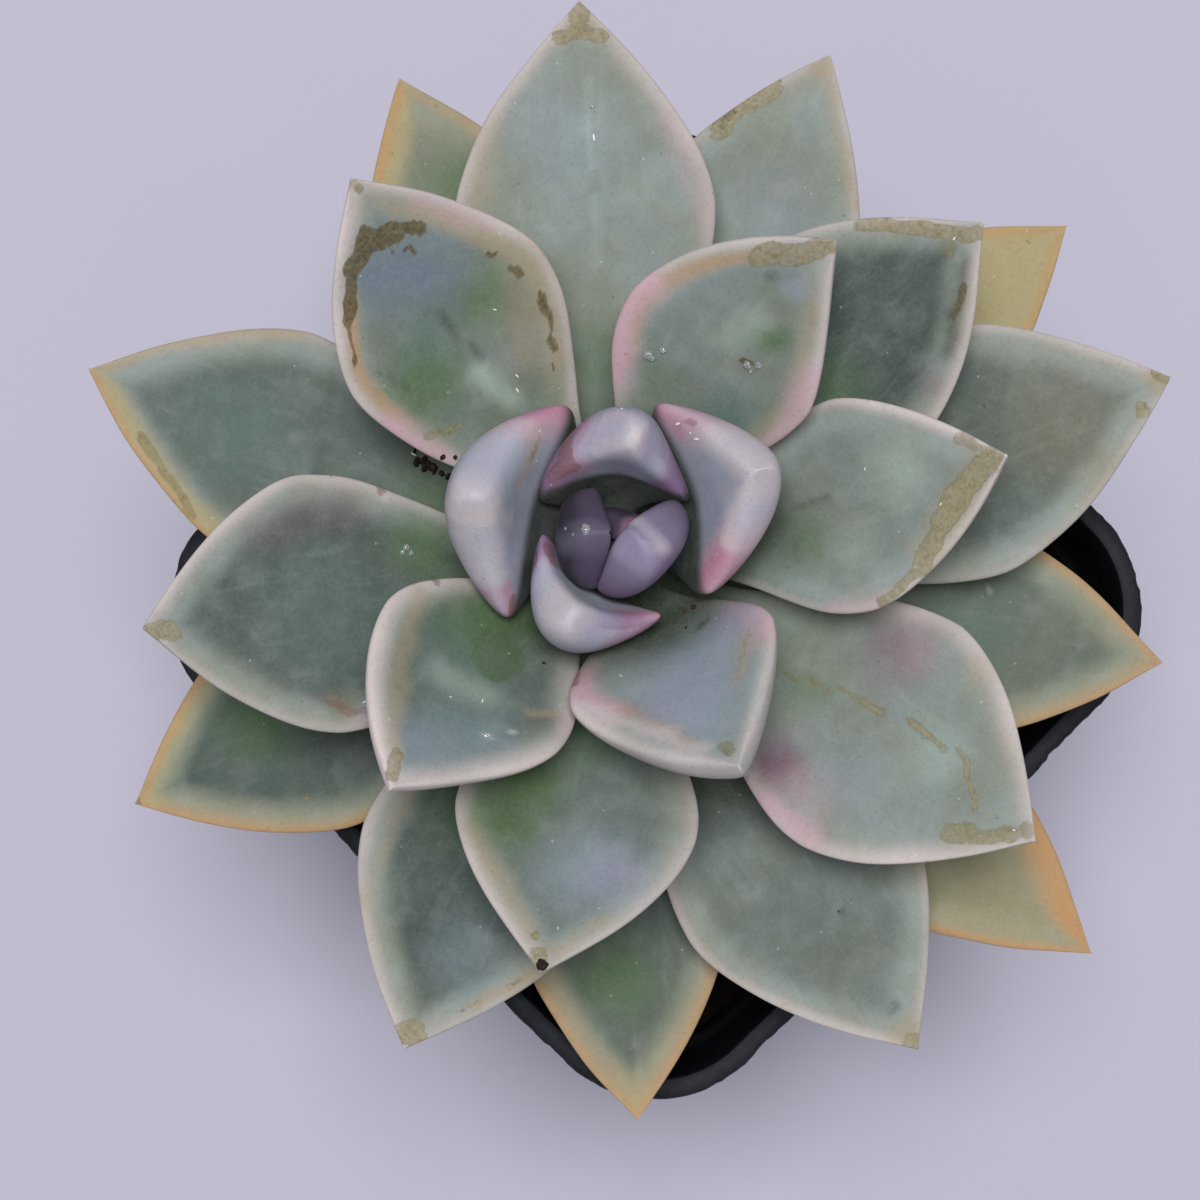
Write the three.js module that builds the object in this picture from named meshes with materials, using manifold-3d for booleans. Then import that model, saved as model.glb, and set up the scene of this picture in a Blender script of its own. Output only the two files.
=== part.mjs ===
// A fleshy rosette succulent standing in a small square nursery pot.
// Millimetres, +Z up. The origin is the middle of the pot's underside, and X and Y run along its sides.
import * as THREE from 'three';
import { mergeVertices } from 'three/addons/utils/BufferGeometryUtils.js';
import Module from 'manifold-3d';

const wasm = await Module();
wasm.setup();

const GAP = 0.3;                 // running clearance kept between pieces that touch

// The pot: a thin moulded square with round corners, a flat lip and a drained floor.
const POT_HEIGHT = 70;
const LIP_HALF = 38.1;           // half the pot's width over the lip, which is 76.2 mm across
const LIP_WIDTH = 2;
const LIP_THICKNESS = 1.4;
const POT_WALL = 0.8;
const POT_CORNER = 13;           // corner radius of the lip
const BASE_HALF = 27.5;
const BASE_CORNER = 9.5;
const SHOULDER_HEIGHT = 59;      // the stacking step under the lip
const SHOULDER_STEP = 0.7;
const FLOOR_THICKNESS = 1;
const FLOOR_RISE = 1.4;          // how far the drained ring of the floor stands off the ground
const PAD_RADIUS = 8;            // the flat pad in the middle of the floor
const FOOT_WIDTH = 5;
const DRAIN_RADIUS = 3.4;
const DRAIN_RING = 15;
const DRAIN_COUNT = 8;
const OUTLET_WIDTH = 6;
const CORNER_STEPS = 6;

// The soil in it, with a plain hole for the stem.
const SOIL_TOP = 57;
const SOIL_RELIEF = 1.1;
const SOIL_RINGS = 7;

// The stem and the crown that carries the leaves.
const STEM_RADIUS = 5.6;
const STEM_FOOT = 34;
const STEM_FOOT_Y = 0.8;
const CROWN_X = -0.4;            // the rosette sits a little off the pot's middle
const CROWN_Y = 5.1;
const CROWN_START = 71;
const CROWN_TOP = 92;
const CROWN_TIP_RADIUS = 2.1;
const SCAR_PITCH = 3.1;
const SCAR_HEIGHT = 0.25;
const STEM_SIDES = 20;
const STEM_RINGS = 30;

// The leaves, youngest first. length runs along the midrib, width and thick are the widest and the
// fullest of the blade, and dish is how deep its face is hollowed, or below zero how much it bulges.
// turn is the direction that a leaf points in, sway how far its tip swings off it, lift its mean slope
// and bend how much steeper the tip is than the base, in degrees. wrap is how closely the leaf curls
// round the stem's middle: 1 follows the circle it stands on. slide is how far the crowd has pushed a
// young leaf sideways. The heart's leaves don't sway or curl, and foot is how far from that middle they
// start. The others start on the stem, from the top down.
const ROSETTE_TURN = -45;        // the rosette as a whole against the pot's sides
const HEART = [
  { turn: 265, foot: 0.3, slide: 0, length: 6.2, width: 4.4, thick: 2.6, lift: 90, bend: 20, dish: -0.3 },
  { turn: 62, foot: 0.1, slide: 0.2, length: 7.8, width: 6.2, thick: 2.7, lift: 88, bend: 60, dish: -0.3 },
  { turn: 180, foot: 0.6, slide: -0.45, length: 11.4, width: 9.4, thick: 4.4, lift: 88, bend: 70, dish: 0 },
  { turn: 318, foot: 0.2, slide: 1.1, length: 11, width: 10.7, thick: 4.6, lift: 88, bend: 54, dish: -0.6 },
];
const LEAVES = [
  { turn: 98, length: 17.4, width: 13.6, thick: 4.6, lift: 69.5, bend: 68, sway: -14, wrap: 1.2, dish: -1.1 },
  { turn: 233, length: 15.2, width: 13.0, thick: 4.0, lift: 69.5, bend: 66, sway: 3, wrap: 1.4, dish: -1.2 },
  { turn: 14, length: 19.9, width: 18.0, thick: 4.6, lift: 57, bend: 34, sway: 0, wrap: 0.7, dish: -1.0 },
  { turn: 160, length: 22.0, width: 20.0, thick: 4.6, lift: 62, bend: 66, sway: 7, wrap: 0.6, dish: -1.9 },
  { turn: 293, length: 31.0, width: 19.6, thick: 4.7, lift: 50, bend: 16, sway: 3.5, wrap: 1, dish: 0.2 },
  { turn: 221.5, length: 36, width: 20.4, thick: 4.7, lift: 43, bend: 16, sway: 7.5, wrap: 1, dish: 0.3 },
  { turn: 65.5, length: 37.0, width: 19.5, thick: 4.7, lift: 41, bend: 16, sway: -12.5, wrap: 1, dish: 0.5 },
  { turn: 9, length: 37.5, width: 19.6, thick: 4.7, lift: 34, bend: 16, sway: 2.5, wrap: 1, dish: 0.5 },
  { turn: 128, length: 42.4, width: 21.6, thick: 4.9, lift: 34, bend: 16, sway: -1, wrap: 1, dish: 0.5 },
  { turn: 262, length: 41, width: 22.0, thick: 5.0, lift: 32, bend: 16, sway: -2, wrap: 1, dish: 0.5 },
  { turn: 191, length: 44, width: 24.0, thick: 5.0, lift: 29, bend: 16, sway: 0, wrap: 1, dish: 0.5 },
  { turn: 43, length: 44, width: 22.6, thick: 5.0, lift: 27, bend: 16, sway: -2, wrap: 1, dish: 0.5 },
  { turn: 325, length: 45.5, width: 25.0, thick: 5.0, lift: 25, bend: 16, sway: -1, wrap: 1, dish: 0.5 },
  { turn: 96, length: 49, width: 24.4, thick: 5.0, lift: 22, bend: 16, sway: -2, wrap: 1, dish: 0.5 },
  { turn: 16, length: 51, width: 23.8, thick: 5.0, lift: 20, bend: 16, sway: 1, wrap: 1, dish: 0.5 },
  { turn: 246, length: 47, width: 23.2, thick: 5.0, lift: 18, bend: 16, sway: 1, wrap: 1, dish: 0.5 },
  { turn: 162, length: 49, width: 22.2, thick: 4.9, lift: 17, bend: 16, sway: -1, wrap: 1, dish: 0.5 },
  { turn: 299, length: 50, width: 24.0, thick: 5.0, lift: 15, bend: 16, sway: 2, wrap: 1, dish: 0.5 },
  { turn: 68.5, length: 48, width: 21.4, thick: 4.7, lift: 14, bend: 16, sway: -1.5, wrap: 1, dish: 0.4 },
  { turn: 349, length: 48, width: 20.5, thick: 4.5, lift: 12, bend: 14, sway: 0, wrap: 1, dish: 0.4 },
  { turn: 207, length: 46.5, width: 22.0, thick: 4.5, lift: 11, bend: 14, sway: 0, wrap: 1, dish: 0.4 },
  { turn: 270.5, length: 48, width: 20.2, thick: 4.4, lift: 10, bend: 14, sway: 1.5, wrap: 1, dish: 0.4 },
  { turn: 37, length: 49.5, width: 20.0, thick: 4.4, lift: 9, bend: 14, sway: 0, wrap: 1, dish: 0.4 },
  { turn: 115, length: 47, width: 20.5, thick: 4.4, lift: 9, bend: 14, sway: -1, wrap: 1, dish: 0.4 },
  { turn: 320, length: 53.5, width: 19.5, thick: 4.4, lift: 8, bend: 14, sway: 0.5, wrap: 1, dish: 0.4 },
];
const SLIDES = [-0.4, 0.5, 2.5, -0.4];   // of the four youngest leaves; the others have room
const YOUNG_COUNT = 4;           // how many of the leaves have the heart's colour
const GROWN_COUNT = 15;          // and how many after them are green, before the oldest ones
const YOUNGEST_BASE = 91.5;      // where the topmost and the lowest leaf start on the stem
const OLDEST_BASE = 72.5;
const HEART_BASE = 93.3;
const CORE_RADIUS = 2.1;         // the growing point that the heart's leaves stand on
const CORE_FOOT_RADIUS = 1.7;
const CORE_HEIGHT = 2.4;
const CORE_SINK = 0.5;           // how far it reaches below them
const BASE_SHARE = 0.24;         // width where the leaf leaves the stem, as a share of its widest
const YOUNG_LENGTH = 26;         // a leaf this short has the young form, and a longer one changes
const GROWN_LENGTH = 40;         // to the grown form at this length
const WIDEST_YOUNG = 0.46;       // how far along the leaf is widest
const WIDEST_GROWN = 0.6;
const TIP_POWER_YOUNG = 1.35;    // how full its sides are on the way to the tip
const TIP_POWER_GROWN = 1.65;
const TIP_PINCH = 0.12;          // how much the very tip is drawn in
const BASE_THICKNESS = 0.4;      // thickness where it leaves the stem, as a share of its fullest
const FULLEST_YOUNG = 0.75;      // how far along it is thickest
const FULLEST_GROWN = 0.55;
const TIP_THICKNESS_YOUNG = 0.95;
const TIP_THICKNESS_GROWN = 0.6;
const EDGE_SHARE = 0.23;         // half the thickness of the rounded edge, as a share of the leaf's
const EDGE_ROUND = 8;            // powers that say how square the edge, the tip and the keel are
const TIP_ROUND = 8;
const KEEL_ROUND = 1.7;
const BELLY_ROUND = 0.6;         // and how round the underside of a young leaf is
const DISH_START = 0.1;          // how far along the face is as hollow as it gets
const SLIDE_END = 0.45;          // a leaf has slid all the way over this far along
const TIP_CROWDING = 1.15;       // above 1 the rings stand closer towards the tip
const MIDRIB_STEPS = 40;
const LEAF_STEPS = 12;
const LEAF_SIDES = 14;
const YOUNG_STEPS = 16;
const YOUNG_SIDES = 20;
const HEART_STEPS = 10;
const HEART_SIDES = 16;

const radians = THREE.MathUtils.degToRad;
const lerp = THREE.MathUtils.lerp;

// Stitches rings of equal length into a closed skin, with a fan over each end.
function skin(rings, startPoint, endPoint) {
  const positions = [startPoint, ...rings.flat(), endPoint].flatMap((p) => p.toArray());
  const sides = rings[0].length;
  const at = (row, i) => 1 + row * sides + (i % sides);
  const last = 1 + rings.length * sides;
  const index = [];
  for (let i = 0; i < sides; i++) {
    index.push(0, at(0, i + 1), at(0, i));
    index.push(last, at(rings.length - 1, i), at(rings.length - 1, i + 1));
    for (let row = 0; row + 1 < rings.length; row++) {
      index.push(at(row, i), at(row, i + 1), at(row + 1, i + 1));
      index.push(at(row, i), at(row + 1, i + 1), at(row + 1, i));
    }
  }
  const geometry = new THREE.BufferGeometry();
  geometry.setAttribute('position', new THREE.Float32BufferAttribute(positions, 3));
  geometry.setIndex(index);
  return geometry;
}

function toSolid(geometry) {
  const bare = new THREE.BufferGeometry();
  bare.setAttribute('position', geometry.getAttribute('position'));
  bare.setIndex(geometry.index);
  const merged = mergeVertices(bare, 1e-4);
  return new wasm.Manifold(new wasm.Mesh({
    numProp: 3,
    vertProperties: new Float32Array(merged.getAttribute('position').array),
    triVerts: new Uint32Array(merged.index.array),
  }));
}

function toGeometry(solid) {
  const mesh = solid.getMesh();
  const geometry = new THREE.BufferGeometry();
  geometry.setAttribute('position', new THREE.Float32BufferAttribute(mesh.vertProperties, 3));
  geometry.setIndex(new THREE.BufferAttribute(mesh.triVerts, 1));
  return geometry;
}

function piece(name, geometry, material) {
  const mesh = new THREE.Mesh(geometry, material);
  mesh.geometry.computeVertexNormals();
  mesh.name = name;
  return mesh;
}

// One level ring of a square with round corners.
function squareRing(half, corner, z) {
  const ring = [];
  for (let quarter = 0; quarter < 4; quarter++) {
    const turn = quarter * Math.PI / 2;
    for (let i = 0; i <= CORNER_STEPS; i++) {
      const a = turn + (i / CORNER_STEPS) * Math.PI / 2;
      const side = half - corner;
      const cx = side * Math.sign(Math.cos(turn + Math.PI / 4));
      const cy = side * Math.sign(Math.sin(turn + Math.PI / 4));
      ring.push(new THREE.Vector3(cx + corner * Math.cos(a), cy + corner * Math.sin(a), z));
    }
  }
  return ring;
}

// The pot's outer wall at a height: a straight taper with a stacking step.
function wallHalf(z) {
  const straight = lerp(BASE_HALF, LIP_HALF - LIP_WIDTH + POT_WALL - SHOULDER_STEP, z / POT_HEIGHT);
  return straight + (z > SHOULDER_HEIGHT ? SHOULDER_STEP : 0);
}

function wallCorner(z) {
  return lerp(BASE_CORNER, POT_CORNER - (LIP_HALF - wallHalf(POT_HEIGHT)), z / POT_HEIGHT);
}

function potGeometry() {
  const outer = (z) => squareRing(wallHalf(z), wallCorner(z), z);
  const inner = (z) => squareRing(wallHalf(z) - POT_WALL, wallCorner(z) - POT_WALL, z);
  const footInner = BASE_HALF - FOOT_WIDTH;
  const padRing = (radius, z) => squareRing(radius, radius * 0.98, z);
  const lipUnder = POT_HEIGHT - LIP_THICKNESS;
  const rings = [
    padRing(PAD_RADIUS, 0),
    padRing(PAD_RADIUS + FLOOR_RISE, FLOOR_RISE),
    squareRing(footInner - FLOOR_RISE, 6, FLOOR_RISE),
    squareRing(footInner, 7, 0),
    squareRing(BASE_HALF - 1, BASE_CORNER - 1, 0),
    squareRing(BASE_HALF - 0.2, BASE_CORNER - 0.2, 0.9),
    outer(SHOULDER_HEIGHT),
    outer(SHOULDER_HEIGHT + 1),
    outer(lipUnder),
    squareRing(LIP_HALF - 0.3, POT_CORNER - 0.3, lipUnder),
    squareRing(LIP_HALF, POT_CORNER, lipUnder + 0.3),
    squareRing(LIP_HALF, POT_CORNER, POT_HEIGHT - 0.4),
    squareRing(LIP_HALF - 0.4, POT_CORNER - 0.4, POT_HEIGHT),
    squareRing(LIP_HALF - LIP_WIDTH + 0.4, POT_CORNER - LIP_WIDTH + 0.4, POT_HEIGHT),
    inner(POT_HEIGHT - 0.4),
    inner(SHOULDER_HEIGHT + 1),
    inner(SHOULDER_HEIGHT),
    inner(FLOOR_THICKNESS + 1.4),
    squareRing(BASE_HALF - POT_WALL - 1, BASE_CORNER - POT_WALL - 1, FLOOR_THICKNESS),
    squareRing(footInner + 0.4, 7, FLOOR_THICKNESS),
    squareRing(footInner - FLOOR_RISE + 0.4, 6, FLOOR_RISE + FLOOR_THICKNESS),
    padRing(PAD_RADIUS + FLOOR_RISE - 0.4, FLOOR_RISE + FLOOR_THICKNESS),
    padRing(PAD_RADIUS - 0.4, FLOOR_THICKNESS),
  ];
  const middle = (z) => new THREE.Vector3(0, 0, z);
  let pot = toSolid(skin(rings, middle(0), middle(FLOOR_THICKNESS)));
  for (let i = 0; i < DRAIN_COUNT; i++) {
    const turn = (i + 0.5) * 2 * Math.PI / DRAIN_COUNT;
    const drill = new THREE.CylinderGeometry(DRAIN_RADIUS, DRAIN_RADIUS, 8, 16);
    drill.rotateX(Math.PI / 2);
    drill.translate(DRAIN_RING * Math.cos(turn), DRAIN_RING * Math.sin(turn), FLOOR_RISE);
    pot = pot.subtract(toSolid(drill));
  }
  for (let side = 0; side < 4; side++) {
    const outlet = new THREE.BoxGeometry(FOOT_WIDTH + 6, OUTLET_WIDTH, 2 * FLOOR_RISE);
    outlet.translate(BASE_HALF - FOOT_WIDTH / 2 + 1, 0, -0.4);
    outlet.rotateZ(side * Math.PI / 2);
    pot = pot.subtract(toSolid(outlet));
  }
  return toGeometry(pot);
}

// The stem's middle line: it leans from the soil to the crown, then stands upright.
function stemMiddle(z) {
  const s = THREE.MathUtils.smoothstep(z, STEM_FOOT, CROWN_START);
  return new THREE.Vector3(CROWN_X * s, lerp(STEM_FOOT_Y, CROWN_Y, s), z);
}

function stemRadius(z) {
  const s = THREE.MathUtils.clamp((z - CROWN_START) / (CROWN_TOP - CROWN_START), 0, 1);
  return lerp(STEM_RADIUS, CROWN_TIP_RADIUS, s ** 1.5);
}

function stemGeometry(extra, top) {
  const rings = [];
  for (let row = 0; row <= STEM_RINGS; row++) {
    const z = lerp(STEM_FOOT - extra, top, row / STEM_RINGS);
    const ridge = z < CROWN_START ? SCAR_HEIGHT * Math.cos((z / SCAR_PITCH) * 2 * Math.PI) : -SCAR_HEIGHT;
    const radius = stemRadius(z) + extra + (extra ? 0 : ridge);
    const middle = stemMiddle(z);
    const ring = [];
    for (let i = 0; i < STEM_SIDES; i++) {
      const a = (i / STEM_SIDES) * 2 * Math.PI;
      ring.push(new THREE.Vector3(Math.cos(a), Math.sin(a), 0).multiplyScalar(radius).add(middle));
    }
    rings.push(ring);
  }
  return skin(rings, stemMiddle(STEM_FOOT - extra), stemMiddle(top));
}

function soilGeometry() {
  const wall = (z) => squareRing(wallHalf(z) - POT_WALL - GAP, wallCorner(z) - POT_WALL - GAP, z);
  const rings = [];
  const foot = FLOOR_RISE + FLOOR_THICKNESS + GAP;
  rings.push(squareRing(BASE_HALF - POT_WALL - 1.2, BASE_CORNER - POT_WALL - 1.2, foot));
  rings.push(wall(foot + 1.5));
  rings.push(wall(SOIL_TOP - 1));
  const rim = wall(SOIL_TOP);
  for (let ring = 0; ring < SOIL_RINGS; ring++) {
    const share = 1 - (ring + 0.4) / SOIL_RINGS;
    rings.push(rim.map((p) => {
      const [x, y] = [p.x * share, p.y * share];
      const bump = Math.sin(x * 0.55 + 1.3) * Math.cos(y * 0.47) + 0.6 * Math.sin(x * 1.1 - y * 0.9);
      return new THREE.Vector3(x, y, SOIL_TOP + SOIL_RELIEF * bump * 0.6 + (1 - share) * 1.5);
    }));
  }
  const soil = toSolid(skin(rings, new THREE.Vector3(0, 0, foot), new THREE.Vector3(0, 0, SOIL_TOP + 1)));
  const hole = toSolid(stemGeometry(GAP + SCAR_HEIGHT, SOIL_TOP + 12));
  return toGeometry(soil.subtract(hole));
}

// How far a leaf has gone from the young form to the grown one.
function growth(leaf) {
  return THREE.MathUtils.clamp((leaf.length - YOUNG_LENGTH) / (GROWN_LENGTH - YOUNG_LENGTH), 0, 1);
}

// How wide it is along its length, as a share of its widest.
function widthShare(t, grown) {
  const widest = lerp(WIDEST_YOUNG, WIDEST_GROWN, grown);
  if (t < widest) {
    return lerp(BASE_SHARE, 1, Math.sin((Math.PI / 2) * (t / widest)) ** 2);
  }
  const x = (t - widest) / (1 - widest);
  return (1 - x ** lerp(TIP_POWER_YOUNG, TIP_POWER_GROWN, grown)) * (1 - TIP_PINCH * x ** 6);
}

// How thick it is: slim where it leaves the stem, fullest past the middle.
function thickShare(t, grown) {
  const fullest = lerp(FULLEST_YOUNG, FULLEST_GROWN, grown);
  const rise = Math.sin((Math.PI / 2) * Math.min(1, t / fullest)) ** 2;
  const tip = lerp(TIP_THICKNESS_YOUNG, TIP_THICKNESS_GROWN, grown);
  return lerp(BASE_THICKNESS, 1, rise) * lerp(1, tip, THREE.MathUtils.smoothstep(t, fullest, 1));
}

// The leaf's midrib: an arc in the upright plane through the stem's middle.
function midrib(leaf, baseRadius, baseHeight) {
  const slope = (t) => radians(leaf.lift + leaf.bend * (t - 0.5));
  const stride = leaf.length / MIDRIB_STEPS;
  const run = [0];
  const rise = [0];
  for (let i = 0; i < MIDRIB_STEPS; i++) {
    run.push(run[i] + stride * Math.cos(slope((i + 0.5) / MIDRIB_STEPS)));
    rise.push(rise[i] + stride * Math.sin(slope((i + 0.5) / MIDRIB_STEPS)));
  }
  return (t) => {
    const i = Math.min(Math.floor(t * MIDRIB_STEPS), MIDRIB_STEPS - 1);
    const f = t * MIDRIB_STEPS - i;
    return {
      radius: baseRadius + lerp(run[i], run[i + 1], f),
      height: baseHeight + lerp(rise[i], rise[i + 1], f),
      slope: slope(t),
    };
  };
}

// A leaf: a thick rounded edge, a dished face and a keeled underside, cupped round the stem.
function leafGeometry(leaf, baseRadius, baseHeight, steps, sides) {
  const at = midrib(leaf, baseRadius, baseHeight);
  const rings = [];
  for (let row = 0; row < steps; row++) {
    const t = 1 - (1 - row / steps) ** TIP_CROWDING;
    const { radius, height, slope } = at(t);
    const half = (leaf.width / 2) * widthShare(t, growth(leaf));
    const close = Math.sqrt(1 - t ** TIP_ROUND);
    const swell = close * thickShare(t, growth(leaf));
    const edge = EDGE_SHARE * leaf.thick * swell;
    const keel = (1 - 2 * EDGE_SHARE) * leaf.thick * swell;
    const hollow = leaf.dish * close * THREE.MathUtils.smoothstep(t, 0, DISH_START);
    const turn = radians(leaf.turn + leaf.sway * t * t);
    const face = turn + radians(leaf.sway * t);
    const slide = leaf.slide * THREE.MathUtils.smoothstep(t, 0, SLIDE_END);
    const ring = [];
    for (let i = 0; i < sides; i++) {
      const a = (i / sides) * 2 * Math.PI;
      const u = Math.cos(a);
      const x = half * u;
      const round = Math.sqrt(Math.max(0, 1 - Math.abs(u) ** EDGE_ROUND));
      const top = edge * round - hollow * (1 - u * u);
      const egg = Math.max(0, 1 - u * u) ** BELLY_ROUND;
      const belly = lerp(egg, 1 - Math.abs(u) ** KEEL_ROUND, growth(leaf));
      const under = -edge * round - keel * belly;
      const cup = (leaf.wrap * Math.sin(slope) * x * x) / (2 * radius);
      const y = cup + (Math.sin(a) > 1e-9 ? top : Math.sin(a) < -1e-9 ? under : 0);
      ring.push(new THREE.Vector3(
        radius * Math.cos(turn) - Math.sin(slope) * y * Math.cos(face) + (x - slide) * Math.sin(face),
        radius * Math.sin(turn) - Math.sin(slope) * y * Math.sin(face) - (x - slide) * Math.cos(face),
        height + Math.cos(slope) * y,
      ));
    }
    rings.push(ring.reverse());
  }
  const end = at(1);
  const endTurn = radians(leaf.turn + leaf.sway);
  const endFace = endTurn + radians(leaf.sway);
  const tip = new THREE.Vector3(
    end.radius * Math.cos(endTurn) - leaf.slide * Math.sin(endFace),
    end.radius * Math.sin(endTurn) + leaf.slide * Math.cos(endFace),
    end.height,
  );
  const foot = rings[0].reduce((sum, p) => sum.add(p), new THREE.Vector3()).divideScalar(sides);
  return skin(rings, foot, tip);
}

// The youngest leaves, packed as a bud and grown together at the crown.
function heartGeometry() {
  const bud = HEART.map((leaf) => {
    const flat = { ...leaf, sway: 0, wrap: 0 };
    return toSolid(leafGeometry(flat, leaf.foot, HEART_BASE, HEART_STEPS, HEART_SIDES));
  });
  const core = new THREE.CylinderGeometry(CORE_RADIUS, CORE_FOOT_RADIUS, CORE_HEIGHT, HEART_SIDES);
  core.rotateX(Math.PI / 2);
  core.translate(0, 0, HEART_BASE - CORE_SINK + CORE_HEIGHT / 2);
  return toGeometry(wasm.Manifold.union([...bud, toSolid(core)]));
}

const plastic = new THREE.MeshStandardMaterial({ color: 0x14161a, roughness: 0.55, metalness: 0 });
const earth = new THREE.MeshStandardMaterial({ color: 0x2a211a, roughness: 1, metalness: 0 });
const bark = new THREE.MeshStandardMaterial({ color: 0x8a7a5c, roughness: 0.8, metalness: 0 });
const heartFlesh = new THREE.MeshStandardMaterial({ color: 0x5f556c, roughness: 0.6, metalness: 0 });
const youngFlesh = new THREE.MeshStandardMaterial({ color: 0x8f8f9f, roughness: 0.6, metalness: 0 });
const grownFlesh = new THREE.MeshStandardMaterial({ color: 0x8b9b8c, roughness: 0.6, metalness: 0 });
const oldFlesh = new THREE.MeshStandardMaterial({ color: 0xa3906b, roughness: 0.65, metalness: 0 });

const plant = new THREE.Group();
plant.add(piece('pot', potGeometry(), plastic));
plant.add(piece('soil', soilGeometry(), earth));
plant.add(piece('stem', stemGeometry(0, CROWN_TOP), bark));

const rosette = new THREE.Group();
rosette.position.set(CROWN_X, CROWN_Y, 0);
rosette.rotation.z = radians(ROSETTE_TURN);
LEAVES.forEach((values, rank) => {
  const leaf = { ...values, slide: SLIDES[rank] ?? 0 };
  const baseHeight = lerp(YOUNGEST_BASE, OLDEST_BASE, rank / (LEAVES.length - 1));
  const baseRadius = stemRadius(baseHeight) + GAP;
  const name = `leaf_${String(rank + 1).padStart(2, '0')}`;
  const olderFlesh = rank < YOUNG_COUNT + GROWN_COUNT ? grownFlesh : oldFlesh;
  const flesh = rank < YOUNG_COUNT ? youngFlesh : olderFlesh;
  const [steps, sides] = rank < YOUNG_COUNT ? [YOUNG_STEPS, YOUNG_SIDES] : [LEAF_STEPS, LEAF_SIDES];
  rosette.add(piece(name, leafGeometry(leaf, baseRadius, baseHeight, steps, sides), flesh));
});
rosette.add(piece('heart', heartGeometry(), heartFlesh));
plant.add(rosette);

export default plant;
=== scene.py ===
import math
import random

import bmesh
import bpy
import numpy as np
from mathutils import Matrix, Vector, noise


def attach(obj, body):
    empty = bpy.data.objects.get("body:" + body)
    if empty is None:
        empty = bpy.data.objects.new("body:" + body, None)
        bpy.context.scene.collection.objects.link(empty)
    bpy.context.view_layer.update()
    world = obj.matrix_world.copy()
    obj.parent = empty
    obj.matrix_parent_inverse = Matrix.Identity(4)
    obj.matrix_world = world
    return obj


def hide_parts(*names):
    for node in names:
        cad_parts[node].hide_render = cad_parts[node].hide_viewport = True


# A fleshy rosette succulent on a short bare stem, in a small square nursery pot.
# Lengths are in millimetres until a mesh is made, which turns them into metres.
MM = 0.001

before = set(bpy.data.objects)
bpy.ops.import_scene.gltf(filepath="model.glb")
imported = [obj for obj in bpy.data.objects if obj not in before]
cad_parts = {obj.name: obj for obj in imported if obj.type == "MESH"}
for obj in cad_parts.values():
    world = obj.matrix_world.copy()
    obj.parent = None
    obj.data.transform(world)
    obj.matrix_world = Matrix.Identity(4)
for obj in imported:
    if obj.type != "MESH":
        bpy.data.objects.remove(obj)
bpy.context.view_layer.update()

# The camera looks down on the rosette, a little off the upright, with the pot turned by 45 degrees.
CAMERA_PLACE = (-21.9, -14.1, 368.9)
CAMERA_AIM = (-3.4, 4.4, 70.0)
CAMERA_LENS = 90.3

# Soft daylight: a dim sky, and one large window overhead, a little to one side.
SKY_COLOUR = (0.95, 0.97, 1, 1)
SKY_STRENGTH = 0.42
WINDOW_SIZE = 400
WINDOW_POWER = 12.8
WINDOW_COLOUR = (1, 0.985, 0.97)
WINDOW_PLACE = (30, 60, 1100)
WINDOW_AIM = (0, 0, 70)
FLOOR_REACH = 1500

# The pot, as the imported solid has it.
POT_HEIGHT = 70
LIP_HALF = 38.1
LIP_WIDTH = 2
LIP_THICKNESS = 1.4
POT_WALL = 0.8
POT_CORNER = 13
BASE_HALF = 27.5
BASE_CORNER = 9.5
SHOULDER_HEIGHT = 59
SHOULDER_STEP = 0.7
FLOOR_THICKNESS = 1
FLOOR_RISE = 1.4
PAD_RADIUS = 8
FOOT_WIDTH = 5
DRAIN_RADIUS = 3.4
DRAIN_RING = 15
DRAIN_COUNT = 8
OUTLET_WIDTH = 6
WALL_BOW = 0.45                  # how far the thin sides swell out at their middle
CORNER_POINTS = 36               # points round each corner and along each side
SIDE_POINTS = 84
NICK_DEPTH = 0.5                 # the lip's cut edge is this ragged

# The soil and the stem.
GAP = 0.3
SOIL_TOP = 57
SOIL_RELIEF = 1.1
STEM_RADIUS = 5.6
STEM_FOOT = 34
STEM_FOOT_Y = 0.8
CROWN_X = -0.4
CROWN_Y = 5.1
CROWN_START = 71
CROWN_TOP = 92
CROWN_TIP_RADIUS = 2.1
SCAR_PITCH = 3.1

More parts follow.
